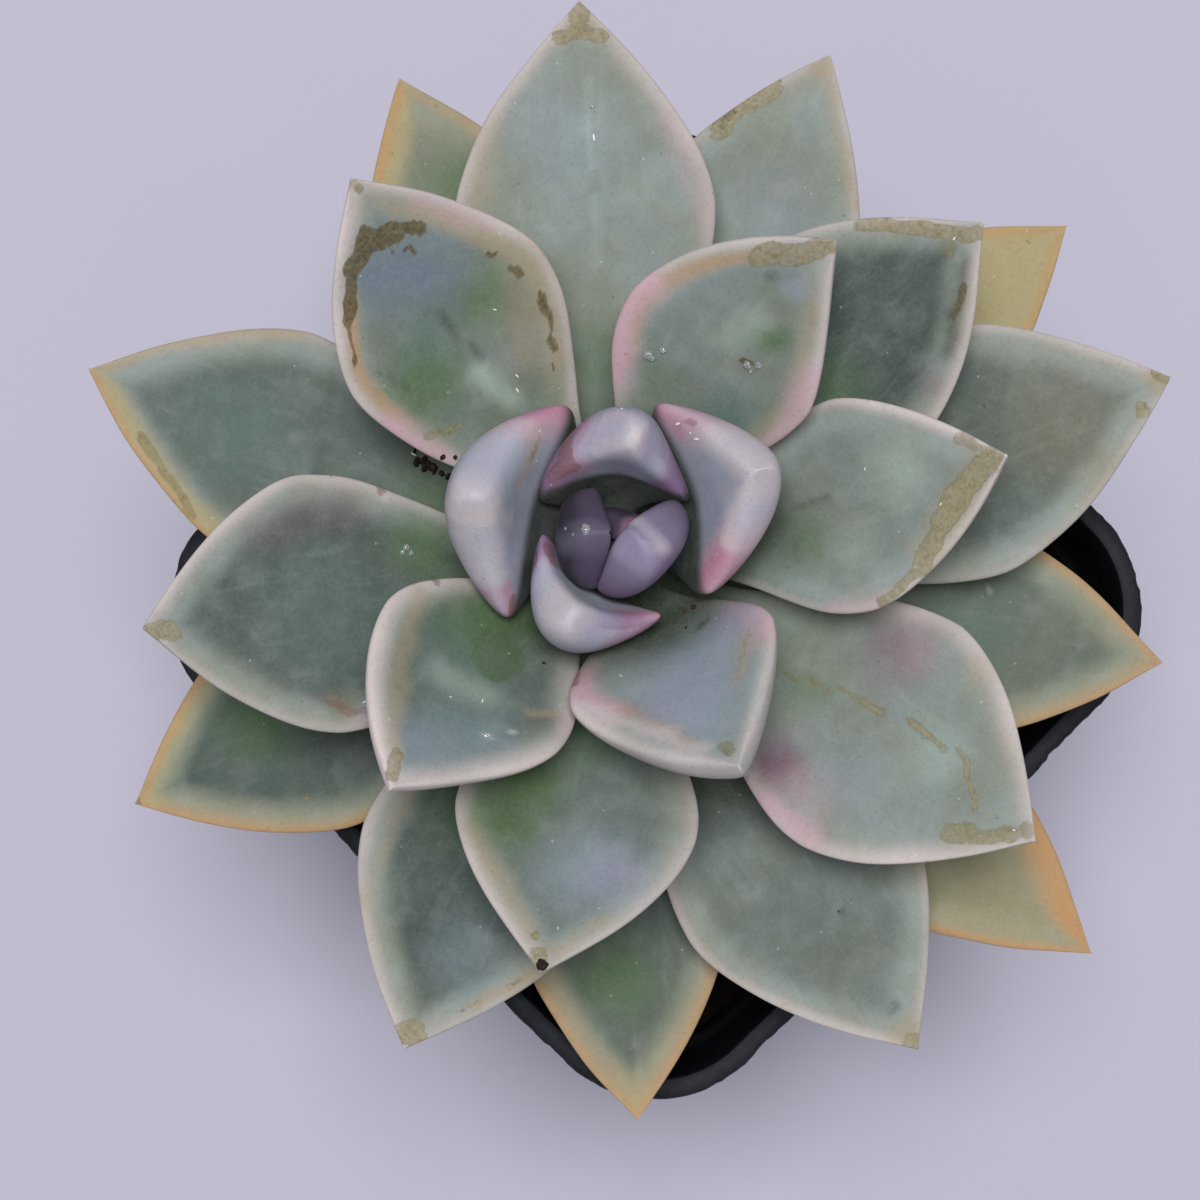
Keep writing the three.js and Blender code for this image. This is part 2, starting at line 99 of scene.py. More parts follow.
# The leaves, youngest first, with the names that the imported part's own source gives to their sizes.
ROSETTE_TURN = -45
LEAF_NAMES = ("turn", "length", "width", "thick", "lift", "bend", "sway", "wrap", "dish")
LEAVES = [
    (98, 17.4, 13.6, 4.6, 69.5, 68, -14, 1.2, -1.1),
    (233, 15.2, 13.0, 4.0, 69.5, 66, 3, 1.4, -1.2),
    (14, 19.9, 18.0, 4.6, 57, 34, 0, 0.7, -1.0),
    (160, 22.0, 20.0, 4.6, 62, 66, 7, 0.6, -1.9),
    (293, 31.0, 19.6, 4.7, 50, 16, 3.5, 1, 0.2),
    (221.5, 36, 20.4, 4.7, 43, 16, 7.5, 1, 0.3),
    (65.5, 37.0, 19.5, 4.7, 41, 16, -12.5, 1, 0.5),
    (9, 37.5, 19.6, 4.7, 34, 16, 2.5, 1, 0.5),
    (128, 42.4, 21.6, 4.9, 34, 16, -1, 1, 0.5),
    (262, 41, 22.0, 5.0, 32, 16, -2, 1, 0.5),
    (191, 44, 24.0, 5.0, 29, 16, 0, 1, 0.5),
    (43, 44, 22.6, 5.0, 27, 16, -2, 1, 0.5),
    (325, 45.5, 25.0, 5.0, 25, 16, -1, 1, 0.5),
    (96, 49, 24.4, 5.0, 22, 16, -2, 1, 0.5),
    (16, 51, 23.8, 5.0, 20, 16, 1, 1, 0.5),
    (246, 47, 23.2, 5.0, 18, 16, 1, 1, 0.5),
    (162, 49, 22.2, 4.9, 17, 16, -1, 1, 0.5),
    (299, 50, 24.0, 5.0, 15, 16, 2, 1, 0.5),
    (68.5, 48, 21.4, 4.7, 14, 16, -1.5, 1, 0.4),
    (349, 48, 20.5, 4.5, 12, 14, 0, 1, 0.4),
    (207, 46.5, 22.0, 4.5, 11, 14, 0, 1, 0.4),
    (270.5, 48, 20.2, 4.4, 10, 14, 1.5, 1, 0.4),
    (37, 49.5, 20.0, 4.4, 9, 14, 0, 1, 0.4),
    (115, 47, 20.5, 4.4, 9, 14, -1, 1, 0.4),
    (320, 53.5, 19.5, 4.4, 8, 14, 0.5, 1, 0.4),
]
SLIDES = (-0.4, 0.5, 2.5, -0.4)  # how far the four youngest are pushed sideways
BLUNT = (0.4, 0.4, 0.0, 0.4)     # how round their tips are
HEART_BLUNT = 0.15
HEART_FEET = (0.3, 0.1, 0.6, 0.2)
HEART_SLIDES = (0, 0.2, -0.45, 1.1)
HEART = [
    (265, 6.2, 4.4, 2.6, 90, 20, 0, 0, -0.3),
    (62, 7.8, 6.2, 2.7, 88, 60, 0, 0, -0.3),
    (180, 11.4, 9.4, 4.4, 88, 70, 0, 0, 0),
    (318, 11, 10.7, 4.6, 88, 54, 0, 0, -0.6),
]
HEART_NUMBER = 60                # the bud's leaves are numbered from here
YOUNG_COUNT = 4
GROWN_COUNT = 15
YOUNG = range(1, YOUNG_COUNT + 1)
GROWN = range(YOUNG_COUNT + 1, YOUNG_COUNT + GROWN_COUNT + 1)
OLD = range(YOUNG_COUNT + GROWN_COUNT + 1, len(LEAVES) + 1)
HEARTS = range(HEART_NUMBER, HEART_NUMBER + len(HEART))
YOUNGEST_BASE = 91.5
OLDEST_BASE = 72.5
HEART_BASE = 93.3
CORE_RADIUS = 2.1
CORE_HEIGHT = 2.4
BASE_SHARE = 0.24
YOUNG_LENGTH = 26
GROWN_LENGTH = 40
WIDEST = (0.46, 0.6)             # each pair is for a young leaf and for a grown one
TIP_POWER = (1.35, 1.65)
FULLEST = (0.75, 0.55)
TIP_THICKNESS = (0.95, 0.6)
KEEL_ROUND = 1.7
BELLY_ROUND = 0.6                # a young leaf's lower side is as round as an egg
TIP_PINCH = 0.12
DISH_START = 0.1
SLIDE_END = 0.45
BASE_THICKNESS = 0.4
EDGE_SHARE = 0.23
EDGE_ROUND = 5
YOUNG_EDGE_ROUND = 3.5
YOUNG_RIM = 0.9                  # how much thicker a young leaf is along its edge
TIP_ROUND = 8
LEAF_ROWS = 92
LEAF_SIDES = 88
BASE_SINK = 1.0                  # how far a leaf's foot runs on into the stem


def paint(code):
    """A colour from its six-digit web code, as the shader wants it."""
    parts = [int(code[i:i + 2], 16) / 255 for i in (0, 2, 4)]
    return (*[p / 12.92 if p < 0.04045 else ((p + 0.055) / 1.055) ** 2.4 for p in parts], 1)


def lerp(a, b, share):
    return a + (b - a) * share


def ease(value, low, high):
    """Rises smoothly from 0 at low to 1 at high."""
    s = np.clip((value - low) / (high - low), 0, 1)
    return s * s * (3 - 2 * s)


def ripple(points, size, seed=0):
    """Smooth noise from -1 to 1 at each point, with humps about this size."""
    shift = Vector((seed * 17.3, seed * 5.1, seed * 9.7))
    flat = points.reshape(-1, 3) / size
    found = [noise.noise(Vector(p) + shift) for p in flat.tolist()]
    return np.array(found).reshape(points.shape[:-1])


# Shader nodes

def feed(tree, socket, value):
    if isinstance(value, bpy.types.NodeSocket):
        tree.links.new(value, socket)
    else:
        socket.default_value = value


def put(tree, kind, inputs=None, **settings):
    """Adds a shader node with its settings and inputs, which are sockets or plain values."""
    node = tree.nodes.new("ShaderNode" + kind)
    for name, value in settings.items():
        setattr(node, name, value)
    for key, value in (inputs or {}).items():
        feed(tree, node.inputs[key], value)
    return node


def mix(tree, share, a, b):
    return put(tree, "Mix", {0: share, 6: a, 7: b}, data_type="RGBA").outputs[2]


def calc(tree, operation, a, b=0.0, clamp=False):
    return put(tree, "Math", {0: a, 1: b}, operation=operation, use_clamp=clamp).outputs[0]


def step_up(tree, value, low, high, bottom=0.0, top=1.0):
    inputs = {"Value": value, "From Min": low, "From Max": high, "To Min": bottom, "To Max": top}
    return put(tree, "MapRange", inputs, interpolation_type="SMOOTHSTEP").outputs[0]


def layer(tree, name):
    """A value that the mesh carries at each of its points."""
    return put(tree, "Attribute", attribute_name=name).outputs["Fac"]


def mottle(tree, place, size, detail=2.0, roughness=0.5, distortion=0.0):
    """Noise with humps of about this size in millimetres."""
    inputs = {"Vector": place, "Scale": 1 / (size * MM), "Detail": detail,
              "Roughness": roughness, "Distortion": distortion}
    return put(tree, "TexNoise", inputs).outputs["Fac"]


def new_group(name, inputs, outputs):
    """An empty node group, with its input and output nodes."""
    tree = bpy.data.node_groups.new(name, "ShaderNodeTree")
    for label, value in inputs.items():
        kind = "NodeSocketVector" if label == "Place" else "NodeSocketFloat"
        socket = tree.interface.new_socket(label, in_out="INPUT", socket_type=kind)
        if label != "Place":
            socket.default_value = value
    for label in outputs:
        tree.interface.new_socket(label, in_out="OUTPUT", socket_type="NodeSocketFloat")
    return tree, tree.nodes.new("NodeGroupInput").outputs, tree.nodes.new("NodeGroupOutput").inputs


def ragged_group():
    """Gives the soft border of a mask a fine uneven outline, with crumbs outside it and gaps inside."""
    tree, given, result = new_group("ragged border", {"Grain": 0.5, "Mask": 0, "Amount": 0.5}, ["Mask"])
    shifted = calc(tree, "MULTIPLY", calc(tree, "SUBTRACT", given["Grain"], 0.5), given["Amount"])
    total = calc(tree, "ADD", given["Mask"], calc(tree, "MULTIPLY", shifted, 2.0))
    edged = step_up(tree, total, 0.3, 0.55)
    present = calc(tree, "MULTIPLY", given["Mask"], 1.4, True)
    feed(tree, result["Mask"], calc(tree, "MULTIPLY", edged, present))
    return tree


def bloom_group():
    """The powdery wax on the flesh: its grain, bright flecks, dark pores and relief."""
    tree, given, result = new_group("powdery bloom", {"Place": None}, ["Grain", "Flecks", "Pores", "Relief"])
    place = given["Place"]
    fine = mottle(tree, place, 0.35, 1, 0.7)
    broad = mottle(tree, place, 1.8, 2, 0.6)
    grain = calc(tree, "ADD", calc(tree, "MULTIPLY", fine, 0.55), calc(tree, "MULTIPLY", broad, 0.45))
    feed(tree, result["Grain"], grain)
    cells = put(tree, "TexVoronoi", {"Vector": place, "Scale": 1 / (1.3 * MM), "Randomness": 1.0})
    chance = put(tree, "SeparateColor", {"Color": cells.outputs["Color"]}).outputs[0]
    chosen = step_up(tree, chance, 0.86, 0.9)
    spot = step_up(tree, cells.outputs["Distance"], 0.06, 0.12, 1.0, 0.0)
    feed(tree, result["Flecks"], calc(tree, "MULTIPLY", chosen, spot))
    holes = put(tree, "TexVoronoi", {"Vector": place, "Scale": 1 / (1.9 * MM), "Randomness": 1.0})
    luck = put(tree, "SeparateColor", {"Color": holes.outputs["Color"]}).outputs[1]
    picked = step_up(tree, luck, 0.8, 0.85)
    pore = step_up(tree, holes.outputs["Distance"], 0.04, 0.11, 1.0, 0.0)
    feed(tree, result["Pores"], calc(tree, "MULTIPLY", picked, pore))
    feed(tree, result["Relief"], calc(tree, "ADD", grain, calc(tree, "MULTIPLY", broad, 0.6)))
    return tree


def grime_group():
    """Patchy dirt: where it lies, and how thick."""
    tree, given, result = new_group("grime", {"Place": None, "Cover": 0.5}, ["Mask", "Relief"])
    patches = mottle(tree, given["Place"], 6.0, 5, 0.65, 0.4)
    crumbs = mottle(tree, given["Place"], 0.6, 3, 0.7)
    both = calc(tree, "ADD", calc(tree, "MULTIPLY", patches, 0.65), calc(tree, "MULTIPLY", crumbs, 0.35))
    bar = calc(tree, "SUBTRACT", 1.0, given["Cover"])
    over = calc(tree, "MULTIPLY", calc(tree, "SUBTRACT", both, bar), 5.0, clamp=True)
    feed(tree, result["Mask"], over)
    feed(tree, result["Relief"], crumbs)
    return tree


# The colours of the marks on the leaves. Some are light and shade rather than the skin's own colour:
# the pale grey-green sheen is painted sheen, the darkest green is painted shade at the feet of leaves,
# the dark grey-green is partly smudges and partly painted shadow from leaves above, the plum-black
# is partly the bud's own colour and partly painted shade, and the cream is partly pale ridges and
# partly painted highlight.
TINTS = {"green": "435c38", "blue": "5a6773", "haze": "77828f", "teal": "4b615b", "smudge_and_shade": "3a4038",
         "plum": "624a58", "sheen": "8b9a8f", "plum_and_shade": "1f1b29", "tan": "8c7d62", "straw": "918662",
         "orange": "9e7850", "pink": "a98b95", "rose": "98687f", "lilac": "857e97", "mauve": "6a5272",
         "cream_and_highlight": "ada4a5", "pale": "b2b2b0", "deep": "1c2612", "rust": "62403a", "hem": "82786c",
         "stain": "6f6547", "rub": "43553d"}
FACE_MARKS = ("green", "blue", "haze", "teal", "smudge_and_shade", "plum", "sheen", "plum_and_shade")
OVER_MARKS = ("tan", "straw", "orange", "pink", "rose", "lilac", "mauve", "cream_and_highlight", "pale", "deep")
RAGGED = ragged_group()
BLOOM = bloom_group()
GRIME = grime_group()


def new_material(name):
    """A material with an empty tree: its tree, its Principled shader and the point being shaded."""
    material = bpy.data.materials.new(name)
    material.use_nodes = True
    tree = material.node_tree
    shader = tree.nodes["Principled BSDF"]
    place = put(tree, "TexCoord").outputs["Object"]
    return material, tree, shader, place


def bump(tree, shader, height, distance, strength=1.0):
    inputs = {"Height": height, "Distance": distance * MM, "Strength": strength}
    feed(tree, shader.inputs["Normal"], put(tree, "Bump", inputs).outputs[0])


def flesh(name, face, other, shade, edge, glow, dust, numbers):
    """The skin of these leaves: two tones, a darker middle, a pale edge, their marks and dust.

    The darker middle and some of the marks are partly painted shade, sheen and highlight.
    """
    material, tree, shader, place = new_material(name)
    marks = marks_on(numbers)
    bloom = put(tree, "Group", {"Place": place}, node_tree=BLOOM).outputs
    grain = put(tree, "CombineXYZ", {0: layer(tree, "across"), 1: layer(tree, "along"), 2: 0.0}).outputs[0]
    streaks = mottle(tree, grain, 1.1, 2, 0.6)
    fine = calc(tree, "MULTIPLY", mottle(tree, place, 0.45, 2, 0.7), 0.55)
    ragged = calc(tree, "ADD", fine, calc(tree, "MULTIPLY", mottle(tree, place, 1.7, 2, 0.6), 0.45))

    def worn(mark, amount):
        inputs = {"Grain": ragged, "Mask": layer(tree, mark), "Amount": amount}
        return put(tree, "Group", inputs, node_tree=RAGGED).outputs[0]

    clouds = step_up(tree, mottle(tree, place, 9, 3, 0.55, 0.3), 0.35, 0.65)
    colour = mix(tree, clouds, paint(face), paint(other))
    wisps = calc(tree, "ADD", 0.8, calc(tree, "MULTIPLY", mottle(tree, place, 3.0, 3, 0.5, 0.3), 0.4))
    softened = calc(tree, "MULTIPLY", layer(tree, "shade"), wisps)
    colour = mix(tree, calc(tree, "MULTIPLY", softened, 1.0, clamp=True), colour, paint(shade))
    colour = mix(tree, step_up(tree, streaks, 0.5, 0.9, 0.0, 3 * dust), colour, paint("b4b9b8"))
    blotches = mottle(tree, place, 3.6, 3, 0.5, 0.3)
    colour = mix(tree, step_up(tree, blotches, 0.45, 0.75, 0.0, 2.5 * dust), colour, paint("a9b0ad"))
    colour = mix(tree, step_up(tree, blotches, 0.5, 0.25, 0.0, 0.1), colour, paint("4f5a50"))
    for mark in [kind for kind in FACE_MARKS if kind in marks]:
        mask = calc(tree, "MULTIPLY", layer(tree, mark), wisps)
        colour = mix(tree, calc(tree, "MULTIPLY", mask, 0.9, clamp=True), colour, paint(TINTS[mark]))
    colour = mix(tree, calc(tree, "MULTIPLY", layer(tree, "hem"), wisps, True), colour, paint(TINTS["hem"]))
    faint = calc(tree, "ADD", 0.75, calc(tree, "MULTIPLY", wisps, 0.25))
    rim = calc(tree, "MULTIPLY", layer(tree, "edge"), faint)
    colour = mix(tree, rim, colour, paint(edge))
    for mark in [kind for kind in OVER_MARKS if kind in marks]:
        mask = calc(tree, "MULTIPLY", layer(tree, mark), wisps)
        colour = mix(tree, calc(tree, "MULTIPLY", mask, 0.95, clamp=True), colour, paint(TINTS[mark]))
    speckle = step_up(tree, mottle(tree, place, 0.4, 2, 0.75), 0.3, 0.7)
    if "rub" in marks:
        colour = mix(tree, calc(tree, "MULTIPLY", worn("rub", 0.25), 0.75), colour, paint(TINTS["rub"]))
    if "stain" in marks:
        stained = mix(tree, speckle, paint(TINTS["stain"]), paint("837b5f"))
        inside = step_up(tree, layer(tree, "stain"), 0.45, 0.85)
        stained = mix(tree, inside, paint("625b38"), stained)
        patchy = calc(tree, "ADD", 0.2, mottle(tree, place, 1.1, 2, 0.6))
        colour = mix(tree, calc(tree, "MULTIPLY", worn("stain", 0.7), patchy, True), colour, stained)
    if "rust" in marks:
        colour = mix(tree, calc(tree, "MULTIPLY", worn("rust", 0.6), 0.6), colour, paint(TINTS["rust"]))
    relief = calc(tree, "ADD", bloom["Relief"], streaks)
    rough = calc(tree, "ADD", 0.55, calc(tree, "MULTIPLY", bloom["Grain"], 0.25))
    if "crust" in marks:
        crust = worn("crust", 0.5)
        bark = mix(tree, speckle, paint("3d3420"), paint("5a4f30"))
        colour = mix(tree, calc(tree, "MULTIPLY", crust, 0.88), colour, bark)
        rough = calc(tree, "ADD", rough, calc(tree, "MULTIPLY", crust, 0.2), True)
        lumps = calc(tree, "MULTIPLY", layer(tree, "crust"), mottle(tree, place, 0.5, 1, 0.7))
        relief = calc(tree, "ADD", relief, lumps)
    powder = step_up(tree, bloom["Grain"], 0.35, 0.7)
    colour = mix(tree, calc(tree, "MULTIPLY", powder, dust), colour, paint("d6d7da"))
    colour = mix(tree, step_up(tree, speckle, 0.35, 0.0, 0.0, 0.12), colour, paint("3c4238"))
    colour = mix(tree, calc(tree, "MULTIPLY", bloom["Pores"], 0.35), colour, paint("444a3e"))
    colour = mix(tree, calc(tree, "MULTIPLY", bloom["Flecks"], 5 * dust), colour, paint("dcdcdf"))
    feed(tree, shader.inputs["Base Color"], colour)
    feed(tree, shader.inputs["Roughness"], rough)
    shader.inputs["Subsurface Weight"].default_value = glow
    shader.inputs["Subsurface Radius"].default_value = (1.0, 0.85, 0.55)
    shader.inputs["Subsurface Scale"].default_value = 0.9 * MM
    shader.inputs["Specular IOR Level"].default_value = 0.14
    shader.inputs["Sheen Weight"].default_value = 0.04
    shader.inputs["Sheen Roughness"].default_value = 0.35
    shader.inputs["Sheen Tint"].default_value = paint("cfd0e0")
    bump(tree, shader, relief, 0.05, 0.5)
    return material


def pot_plastic():
    """Thin black plastic with a satin skin, scuffed along the lip and dusty near the ground."""
    material, tree, shader, place = new_material("black moulded plastic")
    dirt = put(tree, "Group", {"Place": place, "Cover": 0.42}, node_tree=GRIME).outputs
    height = put(tree, "SeparateXYZ", {0: place}).outputs[2]
    low = step_up(tree, height, 2 * MM, 22 * MM, 1.0, 0.25)
    scuffs = calc(tree, "MULTIPLY", layer(tree, "scuff"), mottle(tree, place, 0.7, 4, 0.75))
    streaks = put(tree, "Mapping", {"Vector": place, "Scale": (1, 1, 0.12)}).outputs[0]
    flow = mottle(tree, streaks, 3.0, 3, 0.6)
    colour = mix(tree, flow, paint("050609"), paint("0a0c11"))
    colour = mix(tree, step_up(tree, scuffs, 0.2, 0.7, 0.0, 0.35), colour, paint("242a36"))
    colour = mix(tree, calc(tree, "MULTIPLY", dirt["Mask"], calc(tree, "MULTIPLY", low, 0.4)),
                 colour, paint("6b6258"))
    feed(tree, shader.inputs["Base Color"], colour)
    rough = calc(tree, "ADD", 0.4, calc(tree, "MULTIPLY", mottle(tree, place, 1.2, 4, 0.6), 0.25))
    rough = calc(tree, "ADD", rough, calc(tree, "MULTIPLY", scuffs, 0.2), True)
    feed(tree, shader.inputs["Roughness"], rough)
    shader.inputs["Specular IOR Level"].default_value = 0.16
    relief = calc(tree, "ADD", mottle(tree, place, 0.45, 2, 0.5), calc(tree, "MULTIPLY", scuffs, 1.5))
    bump(tree, shader, relief, 0.04, 0.5)
    return material


def earth(name, dark, light):
    """Moist potting mix: peat, bark and grit."""
    material, tree, shader, place = new_material(name)
    dirt = put(tree, "Group", {"Place": place, "Cover": 0.5}, node_tree=GRIME).outputs
    colour = mix(tree, dirt["Mask"], paint(dark), paint(light))
    colour = mix(tree, calc(tree, "MULTIPLY", dirt["Relief"], 0.5), colour, paint("100c0a"))
    feed(tree, shader.inputs["Base Color"], colour)
    shader.inputs["Roughness"].default_value = 0.95
    shader.inputs["Specular IOR Level"].default_value = 0.08
    bump(tree, shader, dirt["Relief"], 0.3)
    return material


def stem_bark():
    """Dry brown stem, paler on the scars of the leaves that have dropped."""
    material, tree, shader, place = new_material("stem bark")
    dirt = put(tree, "Group", {"Place": place, "Cover": 0.5}, node_tree=GRIME).outputs
    colour = mix(tree, dirt["Relief"], paint("5c4d38"), paint("94805c"))
    colour = mix(tree, layer(tree, "scar"), colour, paint("b3a17c"))
    colour = mix(tree, calc(tree, "MULTIPLY", dirt["Mask"], 0.5), colour, paint("3c3024"))
    feed(tree, shader.inputs["Base Color"], colour)
    shader.inputs["Roughness"].default_value = 0.8
    bump(tree, shader, dirt["Relief"], 0.15)
    return material


# Meshes

def make_piece(name, points, faces, material, node_names, layers=None):
    """A mesh piece from points in millimetres, which rides on the part and stands for its solids."""
    mesh = bpy.data.meshes.new(name)
    mesh.from_pydata((np.asarray(points) * MM).tolist(), [], faces)
    mesh.materials.append(material)
    for label, values in (layers or {}).items():
        attribute = mesh.attributes.new(label, "FLOAT", "POINT")
        attribute.data.foreach_set("value", np.asarray(values, np.float32).ravel())
    mesh.polygons.foreach_set("use_smooth", np.ones(len(mesh.polygons), bool))
    mesh.update()
    piece = bpy.data.objects.new(name, mesh)
    bpy.context.scene.collection.objects.link(piece)
    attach(piece, "root")
    if node_names:
        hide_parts(*node_names)
    return piece


def ring_faces(rows, sides, first=0):
    """Quads between rings of points, each ring joined to the next and closed on itself."""
    faces = []
    for row in range(rows - 1):
        for i in range(sides):
            a = first + row * sides + i
            b = first + row * sides + (i + 1) % sides
            faces.append((a, b, b + sides, a + sides))
    return faces


def capped_faces(rows, sides, first=0):
    """The quads of ring_faces, with a fan to a point after the rings at each end."""
    start = first + rows * sides
    last = first + (rows - 1) * sides
    faces = ring_faces(rows, sides, first)
    faces += [(start, first + (i + 1) % sides, first + i) for i in range(sides)]
    faces += [(start + 1, last + i, last + (i + 1) % sides) for i in range(sides)]
    return faces


# Leaves

def leaf_of(values, slide=0.0, blunt=0.0):
    return {**dict(zip(LEAF_NAMES, values)), "slide": slide, "blunt": blunt}


def leaf_at(rank):
    if rank < YOUNG_COUNT:
        return leaf_of(LEAVES[rank], SLIDES[rank], BLUNT[rank])
    return leaf_of(LEAVES[rank])


def growth(leaf):
    return min(max((leaf["length"] - YOUNG_LENGTH) / (GROWN_LENGTH - YOUNG_LENGTH), 0), 1)


def width_share(t, grown):
    widest = lerp(*WIDEST, grown)
    before = lerp(BASE_SHARE, 1, np.sin(np.pi / 2 * np.minimum(t / widest, 1)) ** 2)
    x = np.clip((t - widest) / (1 - widest), 0, 1)
    after = (1 - x ** lerp(*TIP_POWER, grown)) * (1 - TIP_PINCH * x ** 6)
    return np.where(t < widest, before, after)


def thick_share(t, grown):
    fullest = lerp(*FULLEST, grown)
    rise = np.sin(np.pi / 2 * np.minimum(1, t / fullest)) ** 2
    return lerp(BASE_THICKNESS, 1, rise) * lerp(1, lerp(*TIP_THICKNESS, grown), ease(t, fullest, 1))


def stem_radius(z):
    s = np.clip((z - CROWN_START) / (CROWN_TOP - CROWN_START), 0, 1)
    return lerp(STEM_RADIUS, CROWN_TIP_RADIUS, s ** 1.5)


def leaf_skin(leaf, base_radius, base_height, t, u, under, seed):
    """Points on a leaf: t is how far along, u how far across from -1 to 1, under its lower side."""
    grown = growth(leaf)
    knots = np.linspace(0, 1, 41)
    slopes = np.radians(leaf["lift"] + leaf["bend"] * (knots[:-1] + 0.0125 - 0.5))
    run = np.concatenate([[0], np.cumsum(np.cos(slopes))]) * leaf["length"] / 40
    rise = np.concatenate([[0], np.cumsum(np.sin(slopes))]) * leaf["length"] / 40
    radius = base_radius + np.interp(t, knots, run)
    height = base_height + np.interp(t, knots, rise)
    slope = np.radians(leaf["lift"] + leaf["bend"] * (t - 0.5))
    half = leaf["width"] / 2 * width_share(t, grown)
    flat = np.stack([half * u, t * leaf["length"], np.where(under, 40.0, 0.0)], -1)
    half = half + 0.22 * ripple(np.stack([np.sign(u) * 9.0, t * leaf["length"], 0 * t], -1), 6, seed)
    close = np.sqrt(np.clip(1 - t ** TIP_ROUND, 0, 1))
    swell = close * thick_share(t, grown)
    half = np.hypot(half, leaf["blunt"] * leaf["thick"] * close * ease(t, 0.5, 1))
    span = np.abs(u)
    edge = EDGE_SHARE * leaf["thick"] * swell * (1 + YOUNG_RIM * (1 - grown) * span ** 2)
    keel = (1 - 2 * EDGE_SHARE) * leaf["thick"] * swell
    rounding = np.sqrt(np.clip(1 - span ** lerp(YOUNG_EDGE_ROUND, EDGE_ROUND, grown), 0, 1))
    hollow = leaf["dish"] * close * ease(t, 0, DISH_START) * (1 - span ** lerp(2, 2.6, grown))
    top = edge * rounding - hollow
    belly = lerp(np.clip(1 - span ** 2, 0, 1) ** BELLY_ROUND, 1 - span ** KEEL_ROUND, grown)
    low = -edge * rounding - keel * belly
    crease = 0.18 * grown * np.exp(-(u / 0.07) ** 2) * (1 - t) * ease(t, 0.05, 0.2)
    swells = (0.22 * ripple(flat, 7, seed) + 0.05 * ripple(flat, 2, seed)) * (1 - span ** 2) * close
    cup = leaf["wrap"] * np.sin(slope) * (half * u) ** 2 / (2 * radius)
    y = cup + np.where(under, low, top - crease) + swells
    turn = np.radians(leaf["turn"] + leaf["sway"] * t * t)
    face = turn + np.radians(leaf["sway"] * t)
    x = half * u - leaf["slide"] * ease(t, 0, SLIDE_END)
    across = radius * np.cos(turn) - np.sin(slope) * y * np.cos(face) + x * np.sin(face)
    along = radius * np.sin(turn) - np.sin(slope) * y * np.sin(face) - x * np.cos(face)
    c, s = math.cos(math.radians(ROSETTE_TURN)), math.sin(math.radians(ROSETTE_TURN))
    return np.stack([CROWN_X + c * across - s * along, CROWN_Y + s * across + c * along,
                     height + np.cos(slope) * y], -1)


def leaf_grid(rows, sides):
    """The places of a leaf's rings: along, across and which side, crowding towards the tip."""
    t = 1 - (1 - np.arange(rows) / rows) ** 1.15
    a = np.arange(sides) / sides * 2 * np.pi
    along, turn = np.meshgrid(t, a, indexing="ij")
    return along, np.cos(turn), np.sin(turn) > 1e-9


def leaf_mesh(leaf, base_radius, base_height, rows, sides, seed):
    """A leaf's points and the (along, across, side) of each: rings, then the foot, then the tip."""
    t, u, under = leaf_grid(rows, sides)
    points = leaf_skin(leaf, base_radius, base_height, t, u, under, seed).reshape(-1, 3)
    ends = leaf_skin(leaf, base_radius, base_height, np.array([0.0, 1.0]), np.zeros(2),
                     np.array([False, False]), seed)
    middle = np.array([CROWN_X, CROWN_Y, base_height])
    inward = middle - ends[0]
    inward[2] = 0
    ends[0] += inward / max(np.linalg.norm(inward), 0.1) * BASE_SINK
    t = np.concatenate([t.ravel(), [0, 1]])
    u = np.concatenate([u.ravel(), [0, 0]])
    under = np.concatenate([under.ravel(), [False, False]])
    return np.concatenate([points, ends]), t, u, under


def rank_base(rank):
    """How far from the stem's middle and how high the leaf of this rank starts."""
    height = lerp(YOUNGEST_BASE, OLDEST_BASE, rank / (len(LEAVES) - 1))
    return float(stem_radius(height)) + GAP, height


